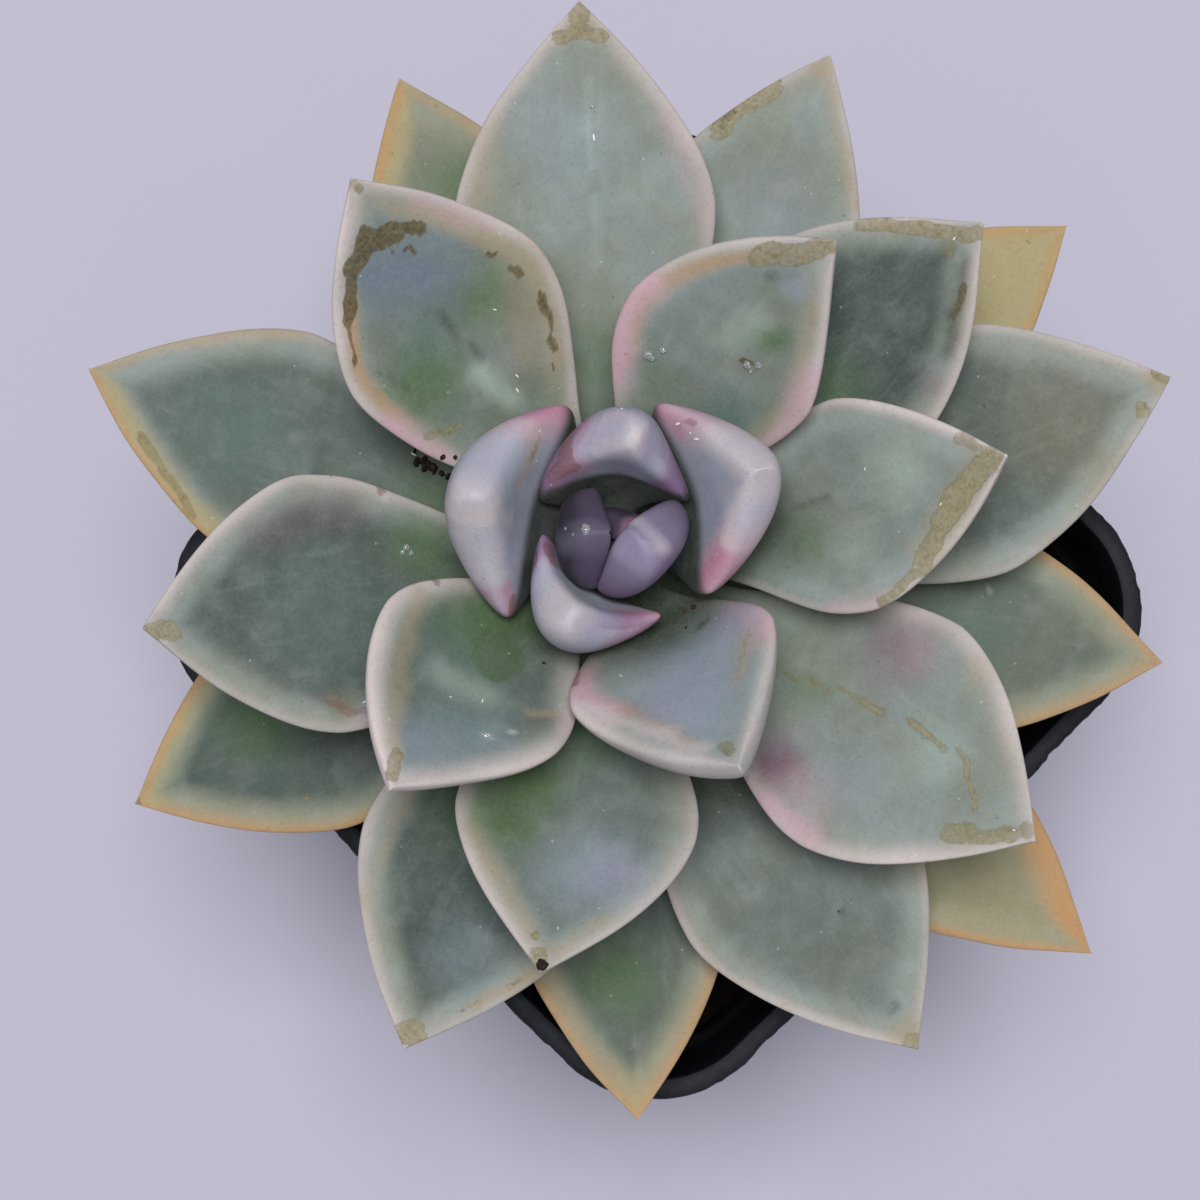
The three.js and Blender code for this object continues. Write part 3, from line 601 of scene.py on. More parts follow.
# What each leaf's skin carries: the kind of mark, its strength, its reach in millimetres, and the
# points that it runs through, as shares along and across the leaf. A mark on the rim or in the band
# inside it follows the edge between two shares along it, on the side that the sign tells.
MARKS = {
    # The bud's leaves are darkened all over with a plum-black that is partly their own colour and partly
    # painted shade for the hollow they sit in.
    60: [("plum_and_shade", 1, 9, (0.7, 0.0))],
    61: [("plum_and_shade", 1, 9, (0.6, 0.0)), ("under rose", 0.4, 0.9, (0.9, 0.3), (0.7, 0.4))],
    62: [("plum_and_shade", 1, 14, (0.6, 0.0)), ("lilac", 0.25, 2, (0.95, 0.1), (0.75, -0.3))],
    # Here and on the young leaves below, the cream lines that meet at a tip are partly pale ridges and
    # partly a painted highlight on them.
    63: [("mauve", 0.5, 3, (0.5, 1.0)), ("under mauve", 0.6, 3, (0.7, 0.0)),
         ("cream_and_highlight", 0.45, 1.4, (0.88, -0.6)), ("lilac", 0.9, 3.0, (0.88, -0.6), (0.93, 0.4), (0.85, 0.8)),
         ("lilac", 0.6, 8, (0.8, 0.0))],
    1: [("mauve", 1, 3.4, (0.45, 1.0), (0.62, 0.85)), ("rose", 0.6, 2, (0.42, 1.0), (0.6, 0.9)),
        ("mauve", 1, 3.4, (0.45, -1.0), (0.62, -0.9)), ("rose", 0.8, 2, (0.45, -1.0), (0.7, -0.75)),
        ("under mauve", 0.5, 3, (0.75, 1.0)), ("cream_and_highlight", 0.8, 0.8, (1.0, 0.0)),
        ("cream_and_highlight", 0.45, 1.3, (1.0, 0.0), (0.93, -0.3)), ("lilac", 0.8, 4, (0.9, 0.3), (0.85, -0.5)),
        ("cream_and_highlight", 0.4, 0.9, (0.93, -0.4), (0.84, -0.8)), ("cream_and_highlight", 0.4, 0.8, (1.0, 0.0), (0.93, 0.6)),
        ("rust", 1, 1.3, (0.62, -1.0), (0.68, -0.9)), ("under rust", 0.9, 1.2, (0.66, -0.95))],
    2: [("mauve", 1, 3, (0.4, 1.0), (0.5, 0.9)), ("lilac", 0.4, 5, (0.8, -0.2)),
        ("rust", 0.9, 0.9, (0.52, 0.85), (0.6, 0.75)), ("under rust", 0.9, 1.0, (0.55, 0.95)),
        ("rose", 0.9, 2.6, (0.42, -1.0), (0.6, -0.8)), ("face mauve", 0.5, 3, (0.62, -0.9), (0.75, -0.9)),
        ("cream_and_highlight", 0.5, 1.5, (1.0, 0.0)), ("cream_and_highlight", 0.5, 3, (0.97, 0.3), (0.85, 0.5)),
        ("cream_and_highlight", 0.4, 1.4, (1.0, 0.0), (0.9, -0.5)), ("cream_and_highlight", 0.4, 1.4, (1.0, 0.0), (0.8, 0.7)),
        ("rim rose", 0.5, 2.2, (0.35, 1), (0.6, 1))],
    3: [("pink", 0.7, 3, (0.45, -1.0), (0.7, -0.9)), ("rose", 0.7, 2.2, (0.42, -1.0), (0.56, -0.8)),
        ("face rust", 0.6, 0.4, (0.62, -0.9), (0.66, -0.88)), ("rose", 1, 2.4, (0.5, 0.85), (0.6, 0.8)),
        ("pink", 0.8, 3, (0.45, 0.95), (0.68, 0.85)),
        ("cream_and_highlight", 0.6, 1.4, (1.0, 0.0), (0.8, 0.75), (0.68, 0.85)),
        ("cream_and_highlight", 0.6, 2.0, (1.0, 0.0), (0.9, -0.4), (0.75, -0.9)),
        ("face blue", 0.35, 3.6, (0.56, 0.0), (0.6, 0.35))],
    4: [("rose", 0.9, 2.2, (0.44, 1.0), (0.6, 0.98)), ("pink", 0.6, 3.2, (0.48, 1.0), (0.66, 0.95)),
        ("cream_and_highlight", 0.8, 2.4, (0.94, -0.5), (0.9, -0.8)), ("cream_and_highlight", 0.4, 3.6, (1.0, 0.0)),
        ("cream_and_highlight", 0.4, 1.6, (0.92, -0.6), (0.75, -0.3)), ("cream_and_highlight", 0.4, 1.6, (0.9, -0.7), (0.65, -0.9)),
        ("face tan", 0.5, 1.5, (0.62, 0.8), (0.68, 0.5), (0.72, 0.3)),
        ("face stain", 0.5, 0.6, (0.62, 0.72), (0.66, 0.5)),
        ("rose", 0.7, 2.0, (0.44, -0.95), (0.58, -0.9)), ("rust", 0.9, 0.8, (0.44, -0.98), (0.5, -0.85))],
    5: [("green", 0.6, 6, (0.15, 0.0)), ("haze", 1, 9, (0.45, -0.2), (0.7, 0.1)),
        ("lilac", 0.35, 7, (0.6, 0.1)), ("lilac", 0.6, 5, (0.42, -0.8)),
        ("pink", 0.7, 3.2, (0.36, -0.99), (0.46, -0.96), (0.55, -0.92)),
        ("pink", 1, 2.6, (0.34, 0.98), (0.46, 0.88), (0.57, 0.75)),
        ("orange", 0.4, 1.8, (0.55, 0.62), (0.8, 0.42)),
        ("cream_and_highlight", 0.7, 1.8, (0.5, 0.95), (0.7, 0.62), (0.86, 0.42)),
        ("tan", 0.5, 1.5, (0.5, -0.8), (0.66, -0.55)), ("stain", 0.4, 0.5, (0.5, -0.78), (0.66, -0.52)),
        ("stain", 0.6, 0.8, (0.88, -0.05), (0.93, -0.1)), ("rust", 0.7, 0.7, (0.35, 0.98), (0.4, 0.96)),
        ("smudge_and_shade", 0.8, 0.9, (0.33, -0.6), (0.33, -0.5))],
    6: [("green", 1, 7, (0.25, 0.4), (0.42, 0.35)), ("teal", 0.5, 8, (0.55, 0.2), (0.7, -0.2)),
        ("rub", 0.9, 3.1, (0.4, 0.01), (0.44, 0.02)),
        ("tan", 0.5, 1.6, (0.48, 0.9), (0.7, 0.6), (0.88, 0.45)),
        ("stain", 0.9, 0.9, (0.9, 0.3), (0.97, 0.35)), ("haze", 0.8, 6, (0.82, -0.1), (0.7, -0.5)),
        ("smudge_and_shade", 0.5, 3, (0.5, -0.8)), ("tan", 0.6, 1.3, (0.47, -0.72), (0.51, -0.6)),
        ("stain", 0.4, 0.5, (0.48, -0.7)), ("pink", 0.4, 2.4, (0.45, -0.98)),
        ("pale", 0.8, 0.45, (0.61, -0.62)), ("pale", 0.6, 0.7, (0.67, -0.48)),
        ("pale", 0.7, 0.4, (0.64, 0.03)), ("rust", 0.7, 0.7, (0.42, 0.97)),
        ("sheen", 0.5, 3, (0.55, -0.2), (0.6, 0.2))],
    7: [("pink", 1, 3.0, (0.36, -0.98), (0.52, -0.98), (0.62, -0.94)),
        ("band orange", 0.45, 1.4, (0.45, -1), (0.8, -1)),
        ("stain", 0.9, 1.6, (0.84, -0.6), (0.9, -0.3), (0.99, 0.3)),
        ("tan", 0.5, 1.3, (0.66, -0.92), (0.84, -0.72)), ("haze", 0.8, 2.8, (0.84, 0.3)),
        ("green", 0.9, 3, (0.68, 0.33)), ("teal", 0.9, 5, (0.42, 0.45)), ("green", 0.4, 4, (0.4, -0.4)),
        ("sheen", 0.5, 2.5, (0.6, 0.0), (0.7, 0.1)),
        ("pink", 0.7, 2.4, (0.4, 0.98), (0.52, 0.97), (0.68, 0.92)),
        ("band tan", 0.35, 1.5, (0.4, 1), (0.85, 1)), ("smudge_and_shade", 0.5, 1.0, (0.81, -0.16)),
        ("crust", 0.9, 0.45, (0.58, 0.22), (0.59, 0.3))],
    8: [("tan", 0.45, 3.2, (0.92, 0.0), (0.75, 0.75)),
        ("stain", 0.85, 1.7, (0.97, -0.3), (0.88, 0.25), (0.8, 0.6)),
        ("stain", 0.8, 1.3, (0.8, 0.6), (0.72, 0.87)), ("stain", 0.7, 0.7, (0.72, 0.9), (0.6, 0.97)),
        ("stain", 0.5, 0.9, (0.88, -0.72), (0.97, -0.5)), ("green", 0.7, 4.5, (0.4, 0.24)),
        # Leaf 8's dark foot is painted shadow from the leaves above it.
        ("green", 0.5, 5, (0.3, -0.4)), ("smudge_and_shade", 0.8, 7, (0.3, 0.0)), ("deep", 0.35, 6, (0.27, 0.0)),
        ("smudge_and_shade", 0.6, 0.8, (0.36, -0.17), (0.5, -0.12)), ("sheen", 0.6, 5, (0.71, -0.22)),
        ("sheen", 0.4, 4, (0.55, 0.4)), ("pink", 0.35, 1.8, (0.48, 0.97), (0.6, 0.97))],
    9: [("blue", 1, 6.5, (0.78, -0.3), (0.72, 0.1)), ("teal", 0.7, 6, (0.6, -0.2)),
        ("green", 1, 6.4, (0.52, -0.45)), ("green", 0.85, 5.6, (0.6, 0.4)),
        ("sheen", 0.8, 2.2, (0.45, -0.02), (0.36, 0.12)), ("tan", 0.4, 4.5, (0.42, 0.55), (0.62, 0.82)),
        ("pink", 0.35, 2, (0.86, 0.8), (0.74, 0.92)), ("band orange", 0.6, 1.0, (0.5, -1), (0.78, -1)),
        ("band tan", 0.6, 2.2, (0.35, 1), (0.9, 1)), ("tan", 0.8, 1.4, (1.0, 0.0)),
        ("stain", 0.7, 0.7, (0.97, 0.1)), ("pink", 0.8, 2.2, (0.5, -0.95), (0.43, -0.99), (0.36, -0.98)),
        ("crust", 1, 0.7, (0.81, 0.4), (0.85, 0.2)),
        ("crust", 1, 1.35, (0.85, 0.12), (0.85, -0.15), (0.88, -0.35), (0.83, -0.62)),
        ("crust", 1, 0.75, (0.83, -0.62), (0.79, -0.76), (0.75, -0.82)),
        ("crust", 0.7, 0.4, (0.75, -0.83), (0.66, -0.87)), ("crust", 0.8, 0.5, (0.8, 0.1), (0.78, 0.15)),
        ("crust", 0.7, 0.45, (0.81, -0.06)), ("crust", 0.8, 0.55, (0.68, 0.64), (0.67, 0.68)),
        ("crust", 0.65, 0.7, (0.62, 0.7), (0.6, 0.74)), ("crust", 0.75, 0.6, (0.53, 0.8), (0.46, 0.8)),
        ("crust", 0.7, 0.6, (0.44, 0.75), (0.4, 0.76)), ("crust", 0.75, 0.4, (0.37, 0.7)),
        ("smudge_and_shade", 0.7, 0.5, (0.65, -0.04), (0.56, 0.03), (0.47, 0.09)),
        ("smudge_and_shade", 0.5, 0.5, (0.62, -0.72), (0.54, -0.6)),
        ("stain", 0.8, 0.5, (0.42, -0.84), (0.4, -0.65), (0.39, -0.5)),
        ("crust", 0.7, 0.35, (0.39, -0.44))],
    10: [("green", 0.7, 7, (0.35, 0.0)), ("green", 1, 6.5, (0.5, 0.5), (0.62, 0.6)),
         ("smudge_and_shade", 0.4, 4, (0.6, 0.6)), ("haze", 0.7, 7, (0.72, -0.2)), ("lilac", 0.35, 5, (0.72, -0.5)),
         ("tan", 0.35, 1.6, (0.68, 0.88), (0.9, 0.5)), ("stain", 0.8, 0.6, (0.91, 0.36)),
         ("stain", 0.9, 0.9, (0.95, 0.3), (0.99, 0.3)), ("tan", 0.3, 1.5, (0.94, -0.3), (0.84, -0.75))],
    11: [("green", 0.8, 6, (0.34, 0.5)), ("green", 0.6, 6, (0.25, 0.0)), ("teal", 0.4, 9, (0.6, 0.0)),
         ("plum", 0.35, 3.5, (0.5, 0.78), (0.72, 0.72)), ("smudge_and_shade", 0.8, 2.6, (0.6, -0.76)),
         ("tan", 0.35, 2.4, (0.6, -0.78)), ("rust", 0.5, 0.7, (0.65, -0.71), (0.6, -0.8)),
         ("rust", 0.5, 0.8, (0.58, -0.86), (0.52, -0.9)), ("pink", 0.35, 2.4, (0.55, -0.96)),
         ("cream_and_highlight", 0.5, 1.0, (0.41, 0.93)), ("rust", 0.9, 0.6, (0.42, 0.95)),
         ("stain", 0.95, 1.2, (0.98, -0.3), (0.94, -0.1))],
    # Leaf 12's broad dark patch is painted shadow from leaves 7 and 8 above it.
    12: [("green", 0.6, 7, (0.5, 0.2)), ("smudge_and_shade", 0.4, 6, (0.65, -0.5)), ("plum", 0.4, 3, (0.7, 0.8)),
         ("stain", 0.8, 0.9, (0.8, -0.93), (0.88, -0.75), (0.95, -0.3)),
         ("stain", 0.8, 1.2, (0.95, -0.2), (0.97, 0.3)), ("stain", 0.6, 1.4, (0.91, -0.1)),
         ("smudge_and_shade", 0.8, 1.6, (0.92, 0.6), (0.83, 0.72), (0.76, 0.8)),
         ("crust", 0.6, 0.6, (0.88, 0.66), (0.82, 0.7))],
    13: [("green", 0.4, 5, (0.4, 0.0)), ("plum", 1, 5.5, (0.45, 0.7)), ("pink", 0.35, 6, (0.55, 0.75)),
         ("rust", 0.4, 1.6, (0.41, 0.92)), ("plum", 0.7, 6.5, (0.52, -0.65)),
         ("pink", 0.2, 5, (0.56, -0.7)), ("haze", 0.5, 6, (0.62, 0.3)), ("sheen", 0.4, 5, (0.72, -0.1)),
         ("tan", 0.35, 3, (0.7, -0.85)), ("pink", 0.7, 2.2, (0.48, 0.95), (0.62, 0.9)),
         ("stain", 0.6, 0.5, (0.34, 0.02), (0.45, -0.1), (0.53, -0.16)),
         ("stain", 0.85, 0.45, (0.53, -0.16), (0.71, -0.23), (0.78, -0.25), (0.83, -0.05), (0.86, 0.12)),
         ("stain", 0.7, 1.1, (0.84, 0.55), (0.9, 0.5), (0.95, 0.35)), ("stain", 0.6, 1.2, (0.97, -0.4)),
         ("rub", 0.8, 0.35, (0.67, 0.17)), ("rust", 0.7, 0.35, (0.61, -0.78))],
    14: [("green", 0.6, 8, (0.3, 0.0)), ("green", 0.4, 6, (0.45, -0.5)), ("haze", 0.35, 8, (0.75, -0.2)),
         ("tan", 0.5, 3, (0.96, 0.0)), ("stain", 0.95, 1.0, (0.94, -0.65), (0.94, 0.65)),
         ("stain", 0.95, 1.4, (0.98, 0.0)), ("sheen", 0.4, 0.8, (0.85, 0.11), (0.63, 0.07), (0.5, 0.05)),
         ("smudge_and_shade", 0.5, 0.45, (0.67, 0.08), (0.64, 0.075)), ("pink", 0.3, 2.4, (0.58, 0.94), (0.76, 0.9)),
         ("tan", 0.3, 2.4, (0.5, -0.95), (0.76, -0.9))],
    # Leaf 15's broad dark middle is painted shadow from leaf 8 above it.
    15: [("smudge_and_shade", 0.5, 12, (0.55, 0.0)), ("tan", 0.25, 10, (0.8, 0.0)), ("tan", 0.7, 2.4, (0.98, 0.0)),
         ("stain", 0.85, 1.1, (0.93, 0.62)), ("stain", 0.8, 0.8, (0.98, -0.7), (0.99, 0.0)),
         ("tan", 0.5, 1.3, (0.7, 0.98))],
    16: [("green", 0.6, 6, (0.5, 0.35)), ("haze", 0.35, 6, (0.78, -0.2)), ("smudge_and_shade", 0.4, 9, (0.5, 0.0)),
         ("tan", 0.4, 1.4, (0.42, 0.97), (0.76, 0.95)), ("stain", 0.9, 1.7, (0.97, 0.3), (0.96, -0.3)),
         ("tan", 0.6, 1.2, (0.86, -0.8), (0.74, -0.94)), ("crust", 0.4, 0.5, (0.88, -0.7), (0.78, -0.88))],
    17: [("green", 0.5, 7, (0.3, 0.0)), ("teal", 0.7, 9, (0.7, 0.0)),
         ("rim straw", 0.9, 2.8, (0.45, -1), (1.1, -1)), ("rim orange", 0.5, 0.8, (0.5, -1), (1.1, -1)),
         ("stain", 0.6, 0.7, (0.86, -0.72), (0.8, -0.85), (0.72, -0.95)),
         ("rim tan", 0.7, 1.2, (0.65, 1), (1.1, 1)), ("straw", 0.8, 2.6, (1.0, 0.0))],
    # Leaf 18's dark foot is painted shadow from leaves 10 and 13 above it.
    18: [("deep", 0.45, 10, (0.3, 0.1)), ("smudge_and_shade", 0.9, 13, (0.32, 0.1)), ("smudge_and_shade", 0.3, 14, (0.7, 0.0)),
         ("tan", 0.6, 3.0, (0.97, 0.1)), ("stain", 0.85, 1.5, (0.99, 0.0)),
         ("smudge_and_shade", 0.9, 0.9, (0.7, -0.12)), ("stain", 0.6, 0.5, (0.7, -0.1)),
         ("smudge_and_shade", 0.6, 0.9, (0.91, -0.09)), ("tan", 0.4, 2.4, (0.7, -0.97)), ("tan", 0.3, 2, (0.8, 0.97))],
    19: [("haze", 0.3, 6, (0.7, 0.1)), ("tan", 0.6, 2.2, (0.97, 0.0)),
         ("tan", 0.4, 1.2, (0.95, 0.5), (0.75, 0.98)), ("stain", 0.9, 1.0, (0.9, -0.8), (0.84, -0.92)),
         ("stain", 0.95, 1.4, (0.82, -0.92), (0.78, -0.88)),
         ("crust", 0.5, 0.8, (0.82, -0.92), (0.79, -0.9))],
    20: [("teal", 0.5, 8, (0.6, 0.0)), ("rim tan", 0.8, 2.2, (0.3, 1), (1.1, 1)),
         ("rim tan", 0.7, 1.8, (0.3, -1), (1.1, -1)), ("rim orange", 0.5, 0.9, (0.6, 1), (1.1, 1)),
         ("rim orange", 0.5, 0.9, (0.6, -1), (1.1, -1)), ("tan", 1, 5, (1.0, 0.0)),
         ("orange", 0.5, 2, (1.0, 0.0)), ("pale", 0.7, 0.4, (0.64, -0.43))],
    # Leaf 21's broad dark middle is painted shadow from leaf 11 above it.
    21: [("green", 0.8, 6, (0.7, 0.2)), ("smudge_and_shade", 0.5, 14, (0.45, 0.0)), ("smudge_and_shade", 0.7, 10, (0.5, 0.0)),
         ("rim straw", 0.7, 2.6, (0.45, 1), (1.1, 1)), ("rim orange", 0.6, 1.2, (0.45, 1), (1.1, 1)),
         ("rim tan", 0.9, 1.8, (0.4, -1), (1.1, -1)), ("rim orange", 0.6, 0.8, (0.5, -1), (1.1, -1)),
         ("straw", 0.9, 3, (0.98, 0.0)), ("rust", 0.6, 0.7, (0.995, 0.0)),
         ("stain", 0.8, 0.4, (0.68, -0.66))],
    # Leaf 22's dark middle is painted shadow from leaf 10 above it.
    22: [("green", 0.8, 6, (0.72, 0.1)), ("smudge_and_shade", 0.5, 6, (0.5, 0.0)), ("straw", 0.9, 5.5, (0.99, 0.1)),
         ("orange", 0.6, 2.4, (1.0, 0.0)), ("rim tan", 0.6, 3.2, (0.4, 1), (1.1, 1)),
         ("rust", 0.3, 1.4, (0.7, 1.0), (0.55, 1.0)), ("rim tan", 0.8, 2.2, (0.4, -1), (1.1, -1)),
         ("rim orange", 0.5, 1.1, (0.4, 1), (1.1, 1)), ("rim orange", 0.5, 0.9, (0.6, -1), (1.1, -1))],
    23: [("straw", 1, 40, (1.0, 0.0), (0.6, 0.0)), ("orange", 0.7, 3, (1.0, 0.0)),
         ("rim orange", 0.5, 1.6, (0.5, 1), (1.1, 1)), ("rim orange", 0.5, 1.6, (0.5, -1), (1.1, -1)),
         ("stain", 0.6, 0.4, (0.92, -0.3))],
    24: [("green", 0.7, 6, (0.75, 0.2)), ("rim straw", 1, 4, (0.5, -1), (1.1, -1)),
         ("rim orange", 0.6, 1.6, (0.5, -1), (1.1, -1)), ("rim tan", 0.8, 1.6, (0.6, 1), (1.1, 1)),
         ("straw", 0.9, 3, (1.0, 0.0))],
    25: [("straw", 0.5, 30, (0.8, 0.0)), ("green", 0.4, 9, (0.6, 0.3)),
         ("rim orange", 0.9, 4, (0.5, -1), (1.1, -1)), ("rim orange", 0.7, 1.1, (0.5, 1), (1.1, 1)),
         ("orange", 0.7, 3, (1.0, 0.0))],
}
KINDS = (*TINTS, "crust")
# Where along a young or a bud leaf its face is painted dark, as painted shade
# where it falls into the dark of the leaves inside it.
DARK_FOOT = {1: 0.56, 2: 0.35, 3: 0.49, 4: 0.5, 60: 0.4, 61: 0.5, 62: 0.5, 63: 0.4}
BOTH_SIDES = ("tan", "straw", "orange", "pink", "rose", "lilac", "mauve", "cream_and_highlight", "plum_and_shade")
CRISP = ("crust", "rust", "stain", "rub")  # these have a firm border; the others fade out
UNDER_SHARE = 0.35               # how much of the other marks shows on a leaf's lower side
# How far each leaf's middle darkens: partly the leaf's own darker middle, and partly painted
# shade where a leaf lies under others and, for the bud, in its hollow.
SHADES = {1: 0.1, 2: 0.1, 3: 0.1, 4: 0.05, 5: 0.1, 6: 0.75, 7: 0.35, 8: 0.35, 9: 0.45, 10: 0.6, 11: 0.85,
          12: 0.95, 13: 0.25, 14: 0.1, 15: 0.75, 16: 0.95, 17: 0.75, 18: 0.55, 19: 0.2, 20: 0.7, 21: 1.0,
          22: 0.85, 23: 0.0, 24: 0.35, 25: 0.5, 60: 1.0, 61: 0.7, 62: 1.0, 63: 0.1}
# How pale each leaf's edge is on its two sides, and how far in from the edge that reaches.
EDGE_STRENGTHS = {5: (0.6, 0.7), 6: (0.8, 1.0), 7: (0.6, 0.65), 8: (0.8, 0.65), 9: (0.85, 0.8),
                  10: (0.5, 0.65), 11: (0.4, 0.7), 12: (0.5, 0.6), 13: (0.7, 0.75), 14: (0.7, 0.6),
                  15: (0.65, 0.35), 16: (0.35, 0.6), 17: (0.25, 0.45), 18: (0.4, 0.65), 19: (0.35, 0.5),
                  20: (0.35, 0.3), 21: (0.25, 0.25), 22: (0.3, 0.3), 23: (0.1, 0.1), 24: (0.2, 0.2),
                  25: (0.1, 0.1)}
EDGE_STRENGTH = (0.5, 0.5)
EDGE_WIDTHS = {1: 0.8, 2: 0.8, 3: 0.8, 4: 0.8, 5: 1.9, 6: 2.5, 7: 1.8, 8: 1.3, 9: 2.0, 10: 1.9, 11: 1.6,
               12: 1.5, 13: 2.2, 14: 2.0, 15: 1.4, 16: 1.7, 60: 0.4, 61: 0.4, 62: 0.4, 63: 0.6}
EDGE_WIDTH = 1.4


def distance_to(points, route):
    """How far each flat point lies from a route of straight stretches."""
    best = np.full(points.shape[:-1], 1e9)
    for a, b in zip(route, route[1:] + route[-1:]):
        span = b - a
        share = np.clip(((points - a) @ span) / max(span @ span, 1e-9), 0, 1)
        best = np.minimum(best, np.linalg.norm(points - a - share[..., None] * span, axis=-1))
    return best


def leaf_layers(leaf, number, t, u, under):
    """The values that a leaf's skin shades by, at each of its points."""
    grown = growth(leaf)

    def spread(along, across):
        half = leaf["width"] / 2 * width_share(np.asarray(along, float), grown)
        return np.stack([half * across, np.asarray(along) * leaf["length"]], -1)

    flat = spread(t, u)
    half = leaf["width"] / 2 * width_share(t, grown)
    lean = (width_share(np.minimum(t + 0.01, 1), grown) - width_share(t - 0.01, grown)) * leaf["width"] / 2
    lean = lean / (0.02 * leaf["length"])
    rim = half * (1 - np.abs(u)) / np.sqrt(1 + lean ** 2)
    waver = ripple(np.stack([np.sign(u) * 9.0, t * leaf["length"], 0 * t], -1), 5, number + 40)
    reach = EDGE_WIDTHS.get(number, EDGE_WIDTH) * (1 + 0.3 * waver)
    layers = {kind: np.zeros_like(t) for kind in KINDS}
    strength = lerp(*EDGE_STRENGTHS.get(number, EDGE_STRENGTH), ease(u, -0.4, 0.4)) * (0.85 + 0.35 * waver)
    layers["edge"] = (1 - ease(rim, 0, reach)) * np.clip(strength, 0, 1) * ease(t, 0.05, 0.35)
    layers["hem"] = 0.3 * grown * (1 - ease(rim, reach * 0.4, reach * 1.4)) * ease(t, 0.1, 0.35)
    inner = 1.2 if grown else 0.0
    layers["shade"] = SHADES.get(number, 0) * ease(rim, inner, inner + lerp(1.5, 3, grown))
    layers["green"] = 0.5 * grown * (1 - ease(t, 0.15, 0.5))
    # The foot of every leaf, and on the young and bud leaves the face below the leaves inside, is painted
    # dark: painted shade where the leaves crowd together.
    foot = 0.9 * (1 - ease(t, *lerp(np.array([0.3, 0.6]), np.array([0.06, 0.3]), grown)))
    if number in DARK_FOOT:
        start = DARK_FOOT[number] + 0.03 * np.cos(u * 2.2)
        foot = np.where(under, foot, 0.95 * (1 - ease(t, start - 0.07, start + 0.03)))
    layers["deep"] = foot
    layers["across"] = half * u * MM
    layers["along"] = t * leaf["length"] * 0.14 * MM + number * 0.05
    sheet = np.concatenate([flat, np.where(under, 40.0, 0.0)[..., None]], -1)
    drift = [0.6 * ripple(sheet, 2.6, number + k) + 0.3 * ripple(sheet, 1.0, number + 30 + k)
             for k in (5, 11)]
    warped = flat + np.stack(drift, -1)
    for kind, strength, size, *route in MARKS.get(number, []):
        side, _, kind = kind.rpartition(" ")
        if side in ("rim", "band"):
            (start, hand), (end, _) = route
            inner = rim + 0.4 * drift[0] - (reach * 0.8 if side == "band" else 0)
            value = 1 - ease(inner, size * 0.3, size)
            if side == "band":
                value = value * ease(rim, reach * 0.3, reach * 0.8)
            value = strength * value * ease(t, start - 0.08, start + 0.04)
            value = value * (1 - ease(t, end - 0.04, end + 0.06))
            layers[kind] = np.maximum(layers[kind], value * ease(u * hand, -0.3, 0.3))
            continue
        calm = min(size / 1.2, 1)
        away = distance_to(flat + (warped - flat) * calm, [spread(*spot) for spot in route])
        value = strength * (1 - ease(away, size * 0.5 * (kind in CRISP), size))
        if side:
            value = value * np.where(under, side == "under", side == "face")
        elif kind not in BOTH_SIDES:
            value = value * np.where(under, UNDER_SHARE, 1)
        layers[kind] = np.maximum(layers[kind], value)
    return layers


def marks_on(numbers):
    """The kinds of mark that these leaves carry, besides the green and the painted shade that all may have.
    """
    return {"green", "deep"} | {mark[0].split()[-1] for number in numbers for mark in MARKS.get(number, [])}


def add_leaves(materials):
    for rank in range(len(LEAVES)):
        leaf = leaf_at(rank)
        number = rank + 1
        points, t, u, under = leaf_mesh(leaf, *rank_base(rank), LEAF_ROWS, LEAF_SIDES, number)
        layers = leaf_layers(leaf, number, t, u, under)
        grown = rank < YOUNG_COUNT + GROWN_COUNT
        slot = "leaf_young" if rank < YOUNG_COUNT else "leaf_grown" if grown else "leaf_old"
        name = f"leaf_{number:02d}"
        faces = capped_faces(LEAF_ROWS, LEAF_SIDES)
        make_piece(f"{name}_flesh", points, faces, materials[slot], [name], layers)


def add_heart(material):
    """The youngest leaves, packed as a bud, with the growing point between them."""
    rows, sides = 56, 56
    points = []
    faces = []
    layers = {}
    count = 0
    for index, values in enumerate(HEART):
        leaf = leaf_of(values, HEART_SLIDES[index], HEART_BLUNT)
        number = HEART_NUMBER + index
        found, t, u, under = leaf_mesh(leaf, HEART_FEET[index], HEART_BASE, rows, sides, number)
        faces += capped_faces(rows, sides, count)
        count += len(found)
        points.append(found)
        for kind, value in leaf_layers(leaf, number, t, u, under).items():
            layers.setdefault(kind, []).append(value)
    core_rows, core_sides = 14, 32
    share = np.linspace(0, 1, core_rows)
    turn = np.arange(core_sides) / core_sides * 2 * np.pi
    wide = CORE_RADIUS * np.sqrt(1 - (share * 0.98) ** 4)
    ring = np.stack([np.cos(turn), np.sin(turn)], -1)
    level = HEART_BASE - 0.5 + share * CORE_HEIGHT
    core = [np.column_stack([ring * w + (CROWN_X, CROWN_Y), np.full(core_sides, z)])
            for w, z in zip(wide, level)]
    ends = [[CROWN_X, CROWN_Y, level[0]], [CROWN_X, CROWN_Y, level[-1] + 0.1]]
    faces += capped_faces(core_rows, core_sides, count)
    points.append(np.concatenate(core + [np.array(ends)]))
    for values in layers.values():
        values.append(np.zeros(core_rows * core_sides + 2))
    joined = {kind: np.concatenate(values) for kind, values in layers.items()}
    make_piece("heart_flesh", np.concatenate(points), faces, material, ["heart"], joined)


# Pot, soil and stem

